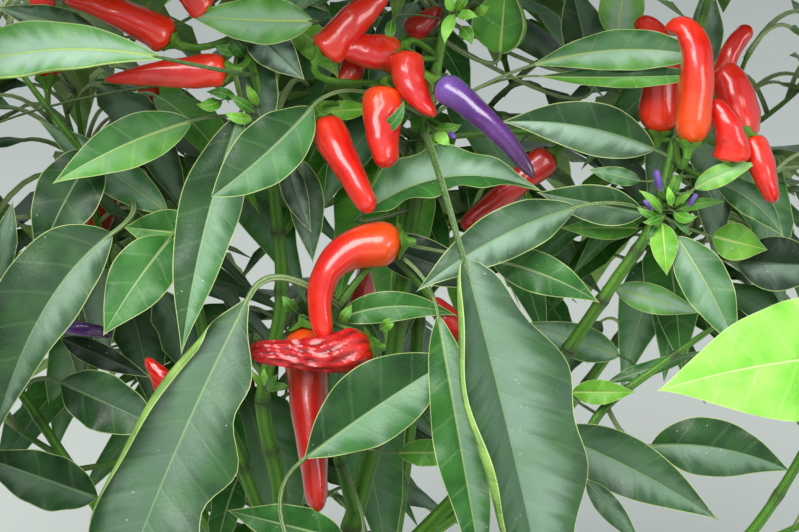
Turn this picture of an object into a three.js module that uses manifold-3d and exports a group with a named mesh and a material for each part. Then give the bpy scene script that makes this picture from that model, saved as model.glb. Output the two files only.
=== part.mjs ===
// A chilli pepper plant in fruit, rooted in level ground.
// Millimetres, +Z up, x to the right and y away from the front.
// The origin is the middle of the flat cut where the main stem leaves the ground.
import * as THREE from "three";
import Module from "manifold-3d";

const wasm = await Module();
wasm.setup();

// Main stem
const FORK_HEIGHT = 150;
const FOOT_RADIUS = 7;
const FORK_RADIUS = 5.6;
const FLARE_RADIUS = 11.5;
const FLARE_HEIGHT = 26;
const KNUCKLE_RADIUS = 7.4;
const STEM_SIDES = 12;

// Boughs and shoots
const CLEAR = 0.3; // from a limb to what it carries
const SHOOT_END_RADIUS = 1.1;
const TWIG_RADII = [1.8, 1.2]; // at its fork and its end
const TWIG_LENGTH = 50;
const TWIG_RISE = 0.7; // radians
const TWIG_ARCH = 0.1; // of its length
const BOUGH_SIDES = 7;
const SHOOT_SIDES = 5;
const TWIG_SIDES = 3;

// Leaves
const STALK_RADII = [1.44, 0.98]; // at the shoot and at the blade
const STALK_LENGTH = 34;
const STALK_RISE = 0.5; // radians
const STALK_SWING = 0.45; // of its span, from the blade back to its elbow
const BLADE_LENGTH = 108;
const BLADE_SLENDERNESS = 2.7; // length over width
const BLADE_WIDEST = 0.38; // share of the length from the base
const BLADE_FULLNESS = 1.5;
const BLADE_THICKNESS = 1 / 85; // share of the length
const BLADE_FOLD = 0.26; // radians that each half rises from flat
const BLADE_EDGE_MARKED = 4; // a half at least this wide is marked at its edge too
const LEAF_ARCH = 4; // how far a shown midrib bulges to the front
const LEAF_SIZES = [0.78, 0.44]; // least, and what chance may add
const STALK_SIZES = [0.8, 0.4];
const DROOPS = [0.25, 0.85]; // radians
const TURNS = [-0.25, 0.5]; // radians
const RIB_BEND = [0.45, 0.2]; // along the blade, and up by a share of its length
const FACE_OUT = 0.6; // how far an upper face leans outwards

// Fruit
const FRUIT_LENGTH = 58;
const FRUIT_RADIUS = 7;
const FRUIT_ARCH = 2;
const FRUIT_SIZES = [0.75, 0.4];
const FRUIT_WIDTHS = [0.85, 0.3];
const FRUIT_LEANS = [0.9, 0.5]; // radians up from level
const FRUIT_BEND = 0.12; // outwards, by a share of its length
const PEDICEL_RADII = [1.88, 1.28];
const PEDICEL_LENGTH = 20;
const PEDICEL_RISE = 0.7; // radians
const FRUIT_SIDES = 5;
const FRUIT_PROFILE = [[0.05, 0.8], [0.4, 1], [0.82, 0.6]]; // along, share of the radius

// Crown: no leaf made by the rule reaches out of this round-edged space
const CROWN_MIDDLE = new THREE.Vector3(8, 6, 388);
const CROWN_REACH = new THREE.Vector3(270, 246, 214);

// Room kept between what grows by the rule and what is there already
const ROOM_IN_MASS = 8;
const ROOM_TO_OTHERS = 16;
const ROOM_TO_LIMB = 9;
const ROOM_FOR_FRUIT = 12;

// Front view, in which the fruit and leaves nearest the front are placed.
// A place in it is a column, a row and how far it lies in front of the view's middle plane.
const VIEW_TARGET = new THREE.Vector3(12, 0, 400);
const VIEW_DISTANCE = 750;
const VIEW_TILT = THREE.MathUtils.degToRad(20);
const VIEW_PIXEL = 0.42; // millimetres at the middle plane
const VIEW_COLUMNS = 799;
const VIEW_ROWS = 532;
const VIEW_MARGIN = 12; // pixels
const VIEW_FRONT = -26; // leaves made by the rule lie behind this nearness in the view
const VIEW_GAP_SHARE = 0.25; // of a leaf that may reach into a gap
const AHEAD = new THREE.Vector3(0, Math.cos(VIEW_TILT), -Math.sin(VIEW_TILT));
const OVERHEAD = new THREE.Vector3(0, Math.sin(VIEW_TILT), Math.cos(VIEW_TILT));
const UP = new THREE.Vector3(0, 0, 1);

// Gaps that stay open in the front view: column, row, radius
const VIEW_GAPS = [
  [50, 110, 42],
  [20, 180, 32],
  [150, 205, 26],
  [222, 215, 24],
  [255, 250, 20],
  [500, 75, 38],
  [560, 22, 22],
  [590, 176, 22],
  [610, 285, 32],
  [655, 350, 26],
  [755, 30, 40],
  [785, 120, 32],
  [740, 440, 40],
  [150, 470, 34],
  [40, 450, 40],
  [130, 315, 26],
  [222, 455, 20],
];

const vec = (x, y, z) => new THREE.Vector3(x, y, z);

// A place in the front view as a point of the plant.
function seen([column, row, near]) {
  const pixel = (VIEW_PIXEL * (VIEW_DISTANCE - near)) / VIEW_DISTANCE;
  return VIEW_TARGET.clone()
    .add(vec((column - VIEW_COLUMNS / 2) * pixel, 0, 0))
    .addScaledVector(OVERHEAD, (VIEW_ROWS / 2 - row) * pixel)
    .addScaledVector(AHEAD, -near);
}

// A point of the plant as a place in the front view.
function placeInView(point) {
  const offset = point.clone().sub(VIEW_TARGET);
  const near = -offset.dot(AHEAD);
  const pixel = (VIEW_PIXEL * (VIEW_DISTANCE - near)) / VIEW_DISTANCE;
  const column = VIEW_COLUMNS / 2 + offset.x / pixel;
  return [column, VIEW_ROWS / 2 - offset.dot(OVERHEAD) / pixel, near];
}

// Numbers from 0 to 1 that are the same on each run.
function seeded(seed) {
  let state = seed >>> 0;
  return () => {
    state = (state + 0x6d2b79f5) >>> 0;
    let mixed = Math.imul(state ^ (state >>> 15), state | 1);
    mixed = (mixed + Math.imul(mixed ^ (mixed >>> 7), mixed | 61)) ^ mixed;
    return ((mixed ^ (mixed >>> 14)) >>> 0) / 4294967296;
  };
}

const smooth = (points) =>
  new THREE.CatmullRomCurve3(points, false, "catmullrom", 0.5);
const bent = (start, middle, end) =>
  new THREE.QuadraticBezierCurve3(start, middle, end);

// Closed solid over rings of points, closed at each end by a point.
function loft(rings, startPoint, endPoint) {
  const sides = rings[0].length;
  const points = [...rings.flat(), startPoint, endPoint];
  const start = points.length - 2;
  const last = (rings.length - 1) * sides;
  const faces = [];
  for (let side = 0; side < sides; side++) {
    const next = (side + 1) % sides;
    faces.push(start, next, side, start + 1, last + side, last + next);
    for (let ring = 0; ring < last; ring += sides) {
      faces.push(ring + side, ring + next, ring + sides + next);
      faces.push(ring + side, ring + sides + next, ring + sides + side);
    }
  }
  return new wasm.Manifold(
    new wasm.Mesh({
      numProp: 3,
      vertProperties: new Float32Array(points.flatMap((p) => p.toArray())),
      triVerts: new Uint32Array(faces),
    }),
  );
}

// Round tapering rod along part of a curve.
function rod(curve, from, to, steps, sides, [thick, thin]) {
  const chord = curve.getPoint(to).sub(curve.getPoint(from)).normalize();
  const reference = Math.abs(chord.y) < 0.7 ? vec(0, 1, 0) : vec(1, 0, 0);
  const rings = [];
  for (let step = 0; step <= steps; step++) {
    const along = from + ((to - from) * step) / steps;
    const middle = curve.getPoint(along);
    const ahead = curve.getTangent(along);
    const across = ahead.clone().cross(reference).normalize();
    const radius = thick + ((thin - thick) * step) / steps;
    rings.push(circle(middle, ahead, across, radius, sides));
  }
  return loft(rings, curve.getPoint(from), curve.getPoint(to));
}

// Half width of a blade along its length, as a share of the widest half.
function bladeOutline(along) {
  const rise = BLADE_WIDEST * BLADE_FULLNESS;
  const fall = (1 - BLADE_WIDEST) * BLADE_FULLNESS;
  const widening = (along / BLADE_WIDEST) ** rise;
  return widening * ((1 - along) / (1 - BLADE_WIDEST)) ** fall;
}

// Direction across a blade at one place; the fold and the upper face follow from it.
function bladeAcross(leaf, along) {
  const ahead = leaf.midrib.getTangent(along);
  const across = leaf.face.clone().cross(ahead).normalize();
  return across.applyAxisAngle(ahead, leaf.turn);
}

// Rings along a stalk, from the shoot's middle up to what it carries. Each is turned
// as little as can be from the ring after it, so the stalk doesn't twist.
function stalkRings(item, across, sides, [thick, thin]) {
  const places = item.shown ? [1, 0.5, 0.12] : [1, 0.12];
  const stalk = bent(item.joint, item.elbow, item.midrib.getPoint(0));
  let side = across;
  return places
    .map((along) => {
      const ahead = stalk.getTangent(along);
      side = side.clone().projectOnPlane(ahead).normalize();
      const radius = thick + (thin - thick) * along;
      return circle(stalk.getPoint(along), ahead, side, radius, sides);
    })
    .reverse();
}

function circle(middle, ahead, across, radius, sides) {
  const upright = ahead.clone().cross(across);
  return Array.from({ length: sides }, (_, side) => {
    const angle = (2 * Math.PI * side) / sides;
    return middle
      .clone()
      .addScaledVector(across, radius * Math.cos(angle))
      .addScaledVector(upright, radius * Math.sin(angle));
  });
}

// Stalk and blade in one: four-sided rings that widen into a folded blade.
function leafSolid(leaf, stations) {
  const thick = leaf.midrib.getLength() * BLADE_THICKNESS;
  const rings = stations.map((along) => {
    const across = bladeAcross(leaf, along);
    const out = leaf.midrib.getTangent(along).cross(across);
    const middle = leaf.midrib.getPoint(along);
    const half = (leaf.wide / 2) * bladeOutline(along);
    const lift = half * Math.sin(leaf.fold);
    const edge = (side) =>
      middle
        .clone()
        .addScaledVector(across, side * half * Math.cos(leaf.fold))
        .addScaledVector(out, lift);
    return [
      edge(1),
      middle.clone().addScaledVector(out, thick / 2),
      edge(-1),
      middle.clone().addScaledVector(out, -thick / 2),
    ];
  });
  const stalk = stalkRings(leaf, bladeAcross(leaf, 0), 4, STALK_RADII);
  return loft([...stalk, ...rings], leaf.joint, leaf.midrib.getPoint(1));
}

// Pedicel and fruit in one: the shoulder swells out of the pedicel.
function fruitSolid(fruit) {
  const start = fruit.midrib.getTangent(0);
  const reference = Math.abs(start.y) < 0.7 ? vec(0, 1, 0) : vec(1, 0, 0);
  let across = reference.clone().projectOnPlane(start).normalize();
  const stalk = stalkRings(fruit, across, FRUIT_SIDES, PEDICEL_RADII);
  const rings = FRUIT_PROFILE.map(([along, share]) => {
    const ahead = fruit.midrib.getTangent(along);
    across = across.clone().projectOnPlane(ahead).normalize();
    const middle = fruit.midrib.getPoint(along);
    return circle(middle, ahead, across, fruit.radius * share, FRUIT_SIDES);
  });
  return loft([...stalk, ...rings], fruit.joint, fruit.midrib.getPoint(1));
}

// Largest body of a solid, with sealed hollows filled and loose scraps dropped.
const largestBody = (solid) =>
  solid.decompose().reduce((best, body) => (body.volume() > best.volume() ? body : best));

// Limbs: each path runs from its parent limb to the end of the mass's stem.
// "enters" is the point of the path where the bough ends and the mass begins.
const LIMBS = [
  {
    name: "centre",
    path: [
      [-12, 3, 146],
      [-18, 2, 210],
      [-11, 0, 268],
      [1, 0, 320],
      [8, -1, 350],
      [14, 0, 396],
      [22, 10, 452],
      [31, 22, 500],
      [38, 27, 545],
    ],
    enters: 4,
    radii: [5.2, 3.9],
    seed: 11,
    twigs: 8,
  },
  {
    name: "left",
    path: [
      [-12, 3, 144],
      [-33, 1, 200],
      [-42, -1, 250],
      [-41, 0, 296],
      [-47, 0, 338],
      [-38, 0, 384],
      [-40, 1, 432],
      [-46, 4, 476],
      [-56, 6, 518],
      [-72, 4, 556],
    ],
    enters: 4,
    radii: [4.1, 3.2],
    seed: 22,
    twigs: 9,
  },
  {
    name: "right",
    path: [
      [-14, 1, 236],
      [20, 0, 272],
      [56, 0, 316],
      [84, 0, 362],
      [102, 0, 392],
      [118, 1, 420],
      [127, 10, 456],
      [136, 22, 496],
      [146, 20, 538],
    ],
    enters: 3,
    radii: [3.5, 2.8],
    seed: 33,
    twigs: 9,
  },
  {
    name: "middle",
    path: [
      [-8, 0, 284],
      [-10, -12, 300],
      [-13, -22, 320],
      [-17, -32, 350],
      [-17, -35, 384],
      [-6, -32, 404],
      [10, -22, 418],
    ],
    enters: 2,
    radii: [3, 2.6],
    seed: 44,
    twigs: 3,
  },
  {
    name: "mid_left",
    path: [
      [-42, -1, 262],
      [-58, 8, 304],
      [-70, 12, 344],
      [-76, 12, 380],
      [-86, 8, 410],
      [-104, 4, 432],
      [-124, 4, 456],
      [-146, 8, 486],
    ],
    enters: 3,
    radii: [3, 2.4],
    seed: 55,
    twigs: 4,
  },
  {
    name: "low_left",
    path: [
      [-36, 0, 212],
      [-70, -14, 232],
      [-98, -23, 262],
      [-113, -27, 294],
      [-134, -18, 326],
      [-156, -8, 358],
      [-178, 0, 396],
      [-190, 4, 430],
    ],
    enters: 3,
    radii: [3, 2.4],
    seed: 66,
    twigs: 5,
  },
  {
    name: "low_right",
    path: [
      [-16, 2, 190],
      [24, -10, 212],
      [58, -18, 244],
      [80, -20, 278],
      [88, -20, 312],
      [97, -10, 336],
      [124, -2, 356],
      [152, 6, 374],
    ],
    enters: 3,
    radii: [3.2, 2.6],
    seed: 77,
    twigs: 5,
  },
  {
    name: "front_right",
    path: [
      [30, -12, 214],
      [74, -48, 236],
      [106, -76, 268],
      [130, -98, 306],
      [150, -112, 346],
      [166, -116, 390],
      [174, -108, 432],
    ],
    enters: 3,
    radii: [2.8, 2.3],
    seed: 88,
    twigs: 7,
  },
  {
    name: "front_left",
    path: [
      [-74, -16, 235],
      [-102, -46, 252],
      [-128, -72, 282],
      [-146, -90, 318],
      [-160, -98, 358],
      [-168, -94, 402],
    ],
    enters: 2,
    radii: [2.6, 2.2],
    seed: 99,
    twigs: 7,
  },
  {
    name: "low_front",
    path: [
      [-9, 2, 112],
      [-2, -36, 142],
      [8, -66, 176],
      [12, -88, 212],
      [8, -106, 250],
      [0, -120, 290],
    ],
    enters: 2,
    radii: [3.2, 2.6],
    seed: 110,
    twigs: 6,
  },
  {
    name: "low_back",
    path: [
      [-11, 3, 126],
      [-26, 42, 156],
      [-38, 74, 190],
      [-48, 100, 226],
      [-52, 120, 266],
      [-50, 134, 308],
    ],
    enters: 2,
    radii: [3.2, 2.6],
    seed: 121,
    twigs: 6,
  },
  {
    name: "back",
    path: [
      [-12, 3, 140],
      [-2, 32, 190],
      [10, 62, 244],
      [18, 86, 300],
      [22, 104, 352],
      [22, 118, 404],
      [18, 126, 456],
      [14, 128, 504],
    ],
    enters: 4,
    radii: [4.2, 3],
    seed: 132,
    twigs: 8,
  },
  {
    name: "back_left",
    path: [
      [-8, 24, 176],
      [-50, 48, 206],
      [-86, 70, 250],
      [-108, 86, 300],
      [-124, 96, 350],
      [-134, 100, 402],
      [-138, 98, 450],
    ],
    enters: 3,
    radii: [3.2, 2.6],
    seed: 143,
    twigs: 9,
  },
  {
    name: "back_right",
    path: [
      [6, 54, 228],
      [46, 72, 250],
      [86, 88, 284],
      [118, 98, 326],
      [142, 102, 372],
      [158, 100, 420],
      [166, 94, 462],
    ],
    enters: 3,
    radii: [3, 2.5],
    seed: 154,
    twigs: 9,
  },
];

// Leaves that the front view shows: base and tip as column, row and nearness,
// width in pixels and bow in pixels to the left of the way from base to tip.
// Where they differ from the rest: the place where the stalk leaves the shoot,
// the turn about the midrib and the fold of each half in radians.
const SHOWN_LEAVES = [
  {
    mass: "centre",
    base: [463, 256, 70],
    tip: [556, 655, 74],
    wide: 150,
    bow: 4,
    joint: [428, 150, 5],
    turn: -0.56,
    fold: 0.6,
  },
  { mass: "centre", base: [312, 107, 40], tip: [211, 197, 60], wide: 64, bow: 4 },
  { mass: "centre", base: [362, 214, 34], tip: [542, 191, 46], wide: 66, bow: 26, turn: -0.6, fold: 0.6 },
  { mass: "centre", base: [548, 64, 14], tip: [690, 60, 20], wide: 40, bow: 10, joint: [436, 118, 8] },
  { mass: "centre", base: [560, 80, 4], tip: [690, 84, 6], wide: 22, bow: 0, joint: [436, 126, 8] },
  { mass: "centre", base: [500, 54, 4], tip: [506, -18, 10], wide: 62, bow: 0 },
  { mass: "centre", base: [592, 70, -22], tip: [570, -20, -18], wide: 46, bow: 0 },
  { mass: "centre", base: [617, 40, -12], tip: [628, -40, -8], wide: 46, bow: 0 },
  { mass: "centre", base: [368, 109, 18], tip: [306, 112, 22], wide: 20, bow: 0 },
  { mass: "left", base: [192, 121, 24], tip: [52, 184, 40], wide: 52, bow: -6, joint: [250, 118, 4] },
  { mass: "left", base: [240, 114, 30], tip: [181, 356, 46], wide: 62, bow: -7 },
  { mass: "left", base: [214, 58, 66], tip: [-72, 54, 58], wide: 60, bow: 8, joint: [262, 70, 4] },
  { mass: "left", base: [314, 21, 36], tip: [186, 15, 42], wide: 48, bow: 2 },
  { mass: "left", base: [243, 40, 16], tip: [268, 150, 22], wide: 50, bow: 0 },
  { mass: "left", base: [246, 22, 26], tip: [305, 80, 32], wide: 42, bow: 0 },
  { mass: "left", base: [290, 24, 16], tip: [338, 78, 22], wide: 34, bow: 6 },
  { mass: "left", base: [302, 160, 6], tip: [313, 264, 12], wide: 36, bow: 0 },
  { mass: "left", base: [286, 158, 16], tip: [312, 233, 22], wide: 26, bow: -3 },
  { mass: "left", base: [100, 34, 26], tip: [-6, 6, 30], wide: 32, bow: 0 },
  { mass: "right", base: [577, 207, 30], tip: [416, 292, 54], wide: 52, bow: -10, joint: [652, 216, 2] },
  { mass: "right", base: [655, 150, 12], tip: [500, 122, 20], wide: 54, bow: -10 },
  { mass: "right", base: [676, 236, 20], tip: [738, 352, 28], wide: 50, bow: 4 },
  { mass: "right", base: [662, 222, 18], tip: [667, 276, 24], wide: 28, bow: 0 },
  { mass: "right", base: [715, 181, 14], tip: [784, 238, 20], wide: 32, bow: 8 },
  { mass: "right", base: [695, 187, 22], tip: [757, 162, 28], wide: 20, bow: 3 },
  { mass: "right", base: [712, 236, 0], tip: [768, 250, 2], wide: 38, bow: 0 },
  { mass: "right", base: [736, 262, -10], tip: [836, 266, -8], wide: 56, bow: 0 },
  { mass: "right", base: [641, 181, 10], tip: [587, 169, 14], wide: 18, bow: 0 },
  { mass: "right", base: [644, 214, 12], tip: [536, 192, 16], wide: 40, bow: 0 },
  { mass: "right", base: [640, 228, 0], tip: [560, 228, 2], wide: 24, bow: 0 },
  { mass: "right", base: [614, 288, -20], tip: [702, 313, -20], wide: 30, bow: 0 },
  { mass: "right", base: [705, 72, -12], tip: [708, -22, -10], wide: 34, bow: 0 },
  { mass: "middle", base: [438, 314, 50], tip: [488, 606, 54], wide: 52, bow: 0, joint: [404, 262, 24] },
  { mass: "middle", base: [243, 303, 52], tip: [98, 655, 72], wide: 114, bow: -6, joint: [318, 286, 28] },
  { mass: "middle", base: [335, 320, 26], tip: [458, 316, 30], wide: 32, bow: 12 },
  { mass: "middle", base: [490, 260, 22], tip: [600, 303, 26], wide: 42, bow: 6 },
  { mass: "middle", base: [366, 240, 10], tip: [500, 288, 10], wide: 46, bow: 0 },
  { mass: "middle", base: [398, 453, 14], tip: [470, 452, 18], wide: 28, bow: 0 },
  { mass: "middle", base: [346, 540, 22], tip: [226, 510, 34], wide: 46, bow: 0 },
  { mass: "mid_left", base: [172, 236, 26], tip: [103, 336, 42], wide: 62, bow: -3 },
  { mass: "mid_left", base: [200, 235, 22], tip: [123, 227, 30], wide: 44, bow: 0 },
  { mass: "mid_left", base: [168, 212, 10], tip: [37, 119, 12], wide: 42, bow: 0 },
  { mass: "mid_left", base: [116, 232, 38], tip: [-58, 424, 60], wide: 96, bow: 0 },
  { mass: "mid_left", base: [97, 148, 20], tip: [36, 266, 30], wide: 66, bow: -4 },
  { mass: "low_left", base: [-2, 280, 30], tip: [13, 200, 34], wide: 26, bow: 0 },
  { mass: "low_left", base: [60, 382, 14], tip: [170, 432, 24], wide: 60, bow: 0, joint: [20, 388, 0] },
  { mass: "low_left", base: [60, 338, -4], tip: [152, 378, 0], wide: 26, bow: 0 },
  { mass: "low_left", base: [98, 498, 24], tip: [-30, 452, 40], wide: 58, bow: 0 },
  { mass: "low_right", base: [620, 356, -36], tip: [522, 322, -36], wide: 36, bow: 0 },
  { mass: "low_right", base: [572, 392, -12], tip: [636, 392, -8], wide: 26, bow: 0 },
  { mass: "low_right", base: [608, 382, -24], tip: [706, 350, -24], wide: 16, bow: 0 },
  { mass: "low_right", base: [548, 432, 0], tip: [720, 521, 10], wide: 62, bow: 6 },
  { mass: "low_right", base: [650, 446, -8], tip: [792, 472, 0], wide: 60, bow: 10 },
  { mass: "low_right", base: [586, 480, 14], tip: [642, 546, 20], wide: 24, bow: 0 },
  { mass: "front_right", base: [905, 322, 122], tip: [657, 388, 132], wide: 124, bow: -10 },
  { mass: "low_front", base: [302, 461, 40], tip: [447, 368, 46], wide: 76, bow: 4 },
];

// Fruit that the front view shows: base and tip as column, row and nearness, its bow and
// its greatest width in pixels.
const SHOWN_FRUIT = [
  { mass: "left", base: [172, 41, 34], tip: [60, -8, 40], wide: 35, bow: -4 },
  { mass: "left", base: [228, 68, 46], tip: [104, 80, 46], wide: 33, bow: -4 },
  { mass: "left", base: [206, 10, 40], tip: [166, -34, 44], wide: 30, bow: 0 },
  { mass: "centre", base: [322, 54, 34], tip: [384, -10, 34], wide: 38, bow: 0 },
  { mass: "centre", base: [398, 56, 28], tip: [342, 48, 34], wide: 38, bow: 0 },
  { mass: "centre", base: [346, 84, 16], tip: [362, 44, 14], wide: 26, bow: 0 },
  { mass: "centre", base: [405, 54, 38], tip: [436, 116, 44], wide: 32, bow: -8 },
  { mass: "centre", base: [384, 90, 36], tip: [388, 168, 44], wide: 40, bow: -4 },
  { mass: "centre", base: [322, 120, 34], tip: [372, 212, 46], wide: 34, bow: 0 },
  { mass: "centre", base: [437, 82, 46], tip: [534, 178, 56], wide: 31, bow: 8 },
  { mass: "centre", base: [552, 154, 2], tip: [462, 228, 6], wide: 30, bow: 0 },
  { mass: "centre", base: [410, 34, 4], tip: [442, 10, 6], wide: 26, bow: 0 },
  { mass: "middle", base: [402, 242, 36], tip: [327, 343, 40], wide: 42, bow: -42 },
  { mass: "middle", base: [368, 355, 38], tip: [250, 350, 40], wide: 45, bow: 0 },
  { mass: "middle", base: [303, 334, 24], tip: [318, 512, 28], wide: 39, bow: 0 },
  { mass: "middle", base: [464, 336, 22], tip: [430, 300, 24], wide: 26, bow: 0 },
  { mass: "low_left", base: [64, 326, 4], tip: [112, 334, 6], wide: 16, bow: 0 },
  { mass: "low_left", base: [176, 396, 30], tip: [146, 358, 32], wide: 24, bow: 0 },
  { mass: "right", base: [655, 134, 26], tip: [632, 24, 30], wide: 38, bow: -12 },
  { mass: "right", base: [690, 146, 38], tip: [664, 30, 42], wide: 36, bow: -27 },
  { mass: "right", base: [745, 137, 22], tip: [718, 60, 24], wide: 38, bow: -5 },
  { mass: "right", base: [722, 92, 6], tip: [752, 26, 8], wide: 23, bow: 5 },
  { mass: "right", base: [730, 162, 40], tip: [708, 100, 44], wide: 32, bow: 4 },
  { mass: "right", base: [748, 140, 30], tip: [777, 200, 34], wide: 28, bow: 8 },
];

// Middle line of a shown leaf or fruit, bowed to one side and arched towards the front.
function shownMidrib({ base, tip, bow }, arch) {
  const along = [tip[0] - base[0], tip[1] - base[1]];
  const span = Math.hypot(...along);
  const middle = [
    (base[0] + tip[0]) / 2 + (2 * bow * along[1]) / span,
    (base[1] + tip[1]) / 2 - (2 * bow * along[0]) / span,
    (base[2] + tip[2]) / 2 + 2 * arch,
  ];
  return bent(seen(base), seen(middle), seen(tip));
}

// Width in millimetres of something seen in the front view.
const seenWidth = (pixels, near) =>
  (pixels * VIEW_PIXEL * (VIEW_DISTANCE - near)) / VIEW_DISTANCE;

// The point of a limb's shoot, in steps, that is nearest to a given one.
const SHOOT_STEPS = 24;
function nearestOnShoot({ curve, starts }, point) {
  let best = null;
  for (let step = 0; step <= SHOOT_STEPS; step++) {
    const place = curve.getPoint(starts + ((1 - starts) * step) / SHOOT_STEPS);
    if (!best || place.distanceTo(point) < best.distanceTo(point)) best = place;
  }
  return best;
}

// Stalk from a joint on a shoot: it swings round into the direction of what it carries.
function stalked(item, joint) {
  const base = item.midrib.getPoint(0);
  const reach = base.distanceTo(joint) * STALK_SWING;
  item.joint = joint;
  item.elbow = base.clone().addScaledVector(item.midrib.getTangent(0), -reach);
  return item;
}

function shownLeaf(row, limb) {
  const leaf = {
    midrib: shownMidrib(row, LEAF_ARCH),
    face: AHEAD.clone().negate(),
    turn: row.turn ?? 0,
    fold: row.fold ?? BLADE_FOLD,
    wide: seenWidth(row.wide, (row.base[2] + row.tip[2]) / 2),
    shown: true,
  };
  return stalked(leaf, nearestOnShoot(limb, seen(row.joint ?? row.base)));
}

function shownFruit(row, limb) {
  const fruit = { midrib: shownMidrib(row, FRUIT_ARCH), shown: true };
  fruit.radius = seenWidth(row.wide, row.base[2]) / 2;
  return stalked(fruit, nearestOnShoot(limb, fruit.midrib.getPoint(0)));
}

// Points over a leaf or fruit that stand for it when room is looked for.
function leafMarks(leaf) {
  const stalk = bent(leaf.joint, leaf.elbow, leaf.midrib.getPoint(0));
  const marks = [stalk.getPoint(0.5), stalk.getPoint(0.75)];
  for (let step = 0; step <= 6; step++) {
    const along = step / 6;
    const middle = leaf.midrib.getPoint(along);
    marks.push(middle);
    const half = (leaf.wide / 2) * bladeOutline(along);
    if (half < BLADE_EDGE_MARKED) continue;
    const across = bladeAcross(leaf, along);
    marks.push(middle.clone().addScaledVector(across, half));
    marks.push(middle.clone().addScaledVector(across, -half));
  }
  return marks;
}

const lineMarks = (curve, steps) =>
  Array.from({ length: steps + 1 }, (_, step) => curve.getPoint(step / steps));

// Limbs as curves, and the parameters where each bough ends and its shoot starts.
const STRIDE = 0.01;
const limbs = LIMBS.map((limb) => {
  const curve = smooth(limb.path.map((point) => vec(...point)));
  const enters = limb.enters / (limb.path.length - 1);
  const stride = curve.getPoint(enters + STRIDE).distanceTo(curve.getPoint(enters));
  const random = seeded(limb.seed);
  return { ...limb, curve, random, enters, starts: enters + (STRIDE * CLEAR) / stride };
});

const LIMB_STEPS = 40;
const limbMarks = limbs.flatMap(({ curve, radii, enters, name }) =>
  Array.from({ length: LIMB_STEPS + 1 }, (_, step) => {
    const along = step / LIMB_STEPS;
    const share = Math.min(along / enters, 1);
    const radius = radii[0] + (radii[1] - radii[0]) * share;
    return { point: curve.getPoint(along), radius, name, bough: along <= enters };
  }),
);

const taken = []; // marks of what has grown: { mass, point }

function takeRoom(mass, marks) {
  for (const point of marks) taken.push({ mass, point });
}

function inCrown(point) {
  const share = point.clone().sub(CROWN_MIDDLE).divide(CROWN_REACH);
  return Math.abs(share.x) ** 3 + Math.abs(share.y) ** 3 + Math.abs(share.z) ** 3 <= 1;
}

// True where something made by the rule would hide what the front view shows.
function hidesShown(point) {
  const [column, row, near] = placeInView(point);
  const inFrame =
    column > -VIEW_MARGIN &&
    column < VIEW_COLUMNS + VIEW_MARGIN &&
    row > -VIEW_MARGIN &&
    row < VIEW_ROWS + VIEW_MARGIN;
  return inFrame && near > VIEW_FRONT;
}

function inViewGap(point) {
  const [column, row] = placeInView(point);
  return VIEW_GAPS.some(([x, y, radius]) => Math.hypot(column - x, row - y) < radius);
}

const spoilsView = (marks) =>
  marks.some(hidesShown) || marks.filter(inViewGap).length > VIEW_GAP_SHARE * marks.length;

function hasRoom(mass, marks, roomInMass) {
  return marks.every(
    (mark) =>
      inCrown(mark) &&
      taken.every(({ mass: owner, point }) => {
        const room = owner === mass ? roomInMass : ROOM_TO_OTHERS;
        return point.distanceTo(mark) > room;
      }) &&
      limbMarks.every(({ point, radius, name, bough }) => {
        if (name === mass && !bough) return true;
        return point.distanceTo(mark) > radius + ROOM_TO_LIMB;
      }),
  );
}

const level = (angle) => vec(Math.cos(angle), Math.sin(angle), 0);
const rising = (angle, rise) =>
  level(angle)
    .multiplyScalar(Math.cos(rise))
    .addScaledVector(UP, Math.sin(rise));
const GOLDEN_ANGLE = THREE.MathUtils.degToRad(137.5);

// A number by chance between a least one and that plus a range.
const dealt = (random, [least, range]) => least + range * random();

// A leaf made by the rule: its stalk rises from the twig and its blade arches over.
function ruleLeaf(joint, angle, random) {
  const size = dealt(random, LEAF_SIZES);
  const stalk = STALK_LENGTH * size * dealt(random, STALK_SIZES);
  const droop = dealt(random, DROOPS);
  const length = BLADE_LENGTH * size;
  const base = joint.clone().addScaledVector(rising(angle, STALK_RISE), stalk);
  const tip = base.clone().addScaledVector(rising(angle, -droop), length);
  const [place, rise] = RIB_BEND;
  const leaf = {
    midrib: bent(base, base.clone().lerp(tip, place).addScaledVector(UP, rise * length), tip),
    face: UP.clone().addScaledVector(level(angle), FACE_OUT),
    turn: dealt(random, TURNS),
    fold: BLADE_FOLD,
    wide: length / BLADE_SLENDERNESS,
  };
  return stalked(leaf, joint);
}

// A fruit made by the rule: it stands up from the end of a twig.
function ruleFruit(joint, angle, random) {
  const length = FRUIT_LENGTH * dealt(random, FRUIT_SIZES);
  const lean = dealt(random, FRUIT_LEANS);
  const base = joint.clone().addScaledVector(rising(angle, PEDICEL_RISE), PEDICEL_LENGTH);
  const tip = base.clone().addScaledVector(rising(angle, lean), length);
  const middle = base.clone().lerp(tip, 0.5).addScaledVector(level(angle), FRUIT_BEND * length);
  const fruit = { midrib: bent(base, middle, tip), radius: FRUIT_RADIUS * dealt(random, FRUIT_WIDTHS) };
  return stalked(fruit, joint);
}

// One leaf or fruit at a joint: it is tried at a few angles until there is room.
const TRIES = 16;
const TRY_TURN = 0.9;
function growOne(limb, grown, make, marksOf, joint, angle, room) {
  for (let attempt = 0; attempt < TRIES; attempt++) {
    const item = make(joint, angle + attempt * TRY_TURN, limb.random);
    const marks = marksOf(item);
    if (spoilsView(marks) || !hasRoom(limb.name, marks, room)) continue;
    takeRoom(limb.name, marks);
    grown.push(item);
    return;
  }
}

const fruitMarks = (fruit) => lineMarks(fruit.midrib, 4);

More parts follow.
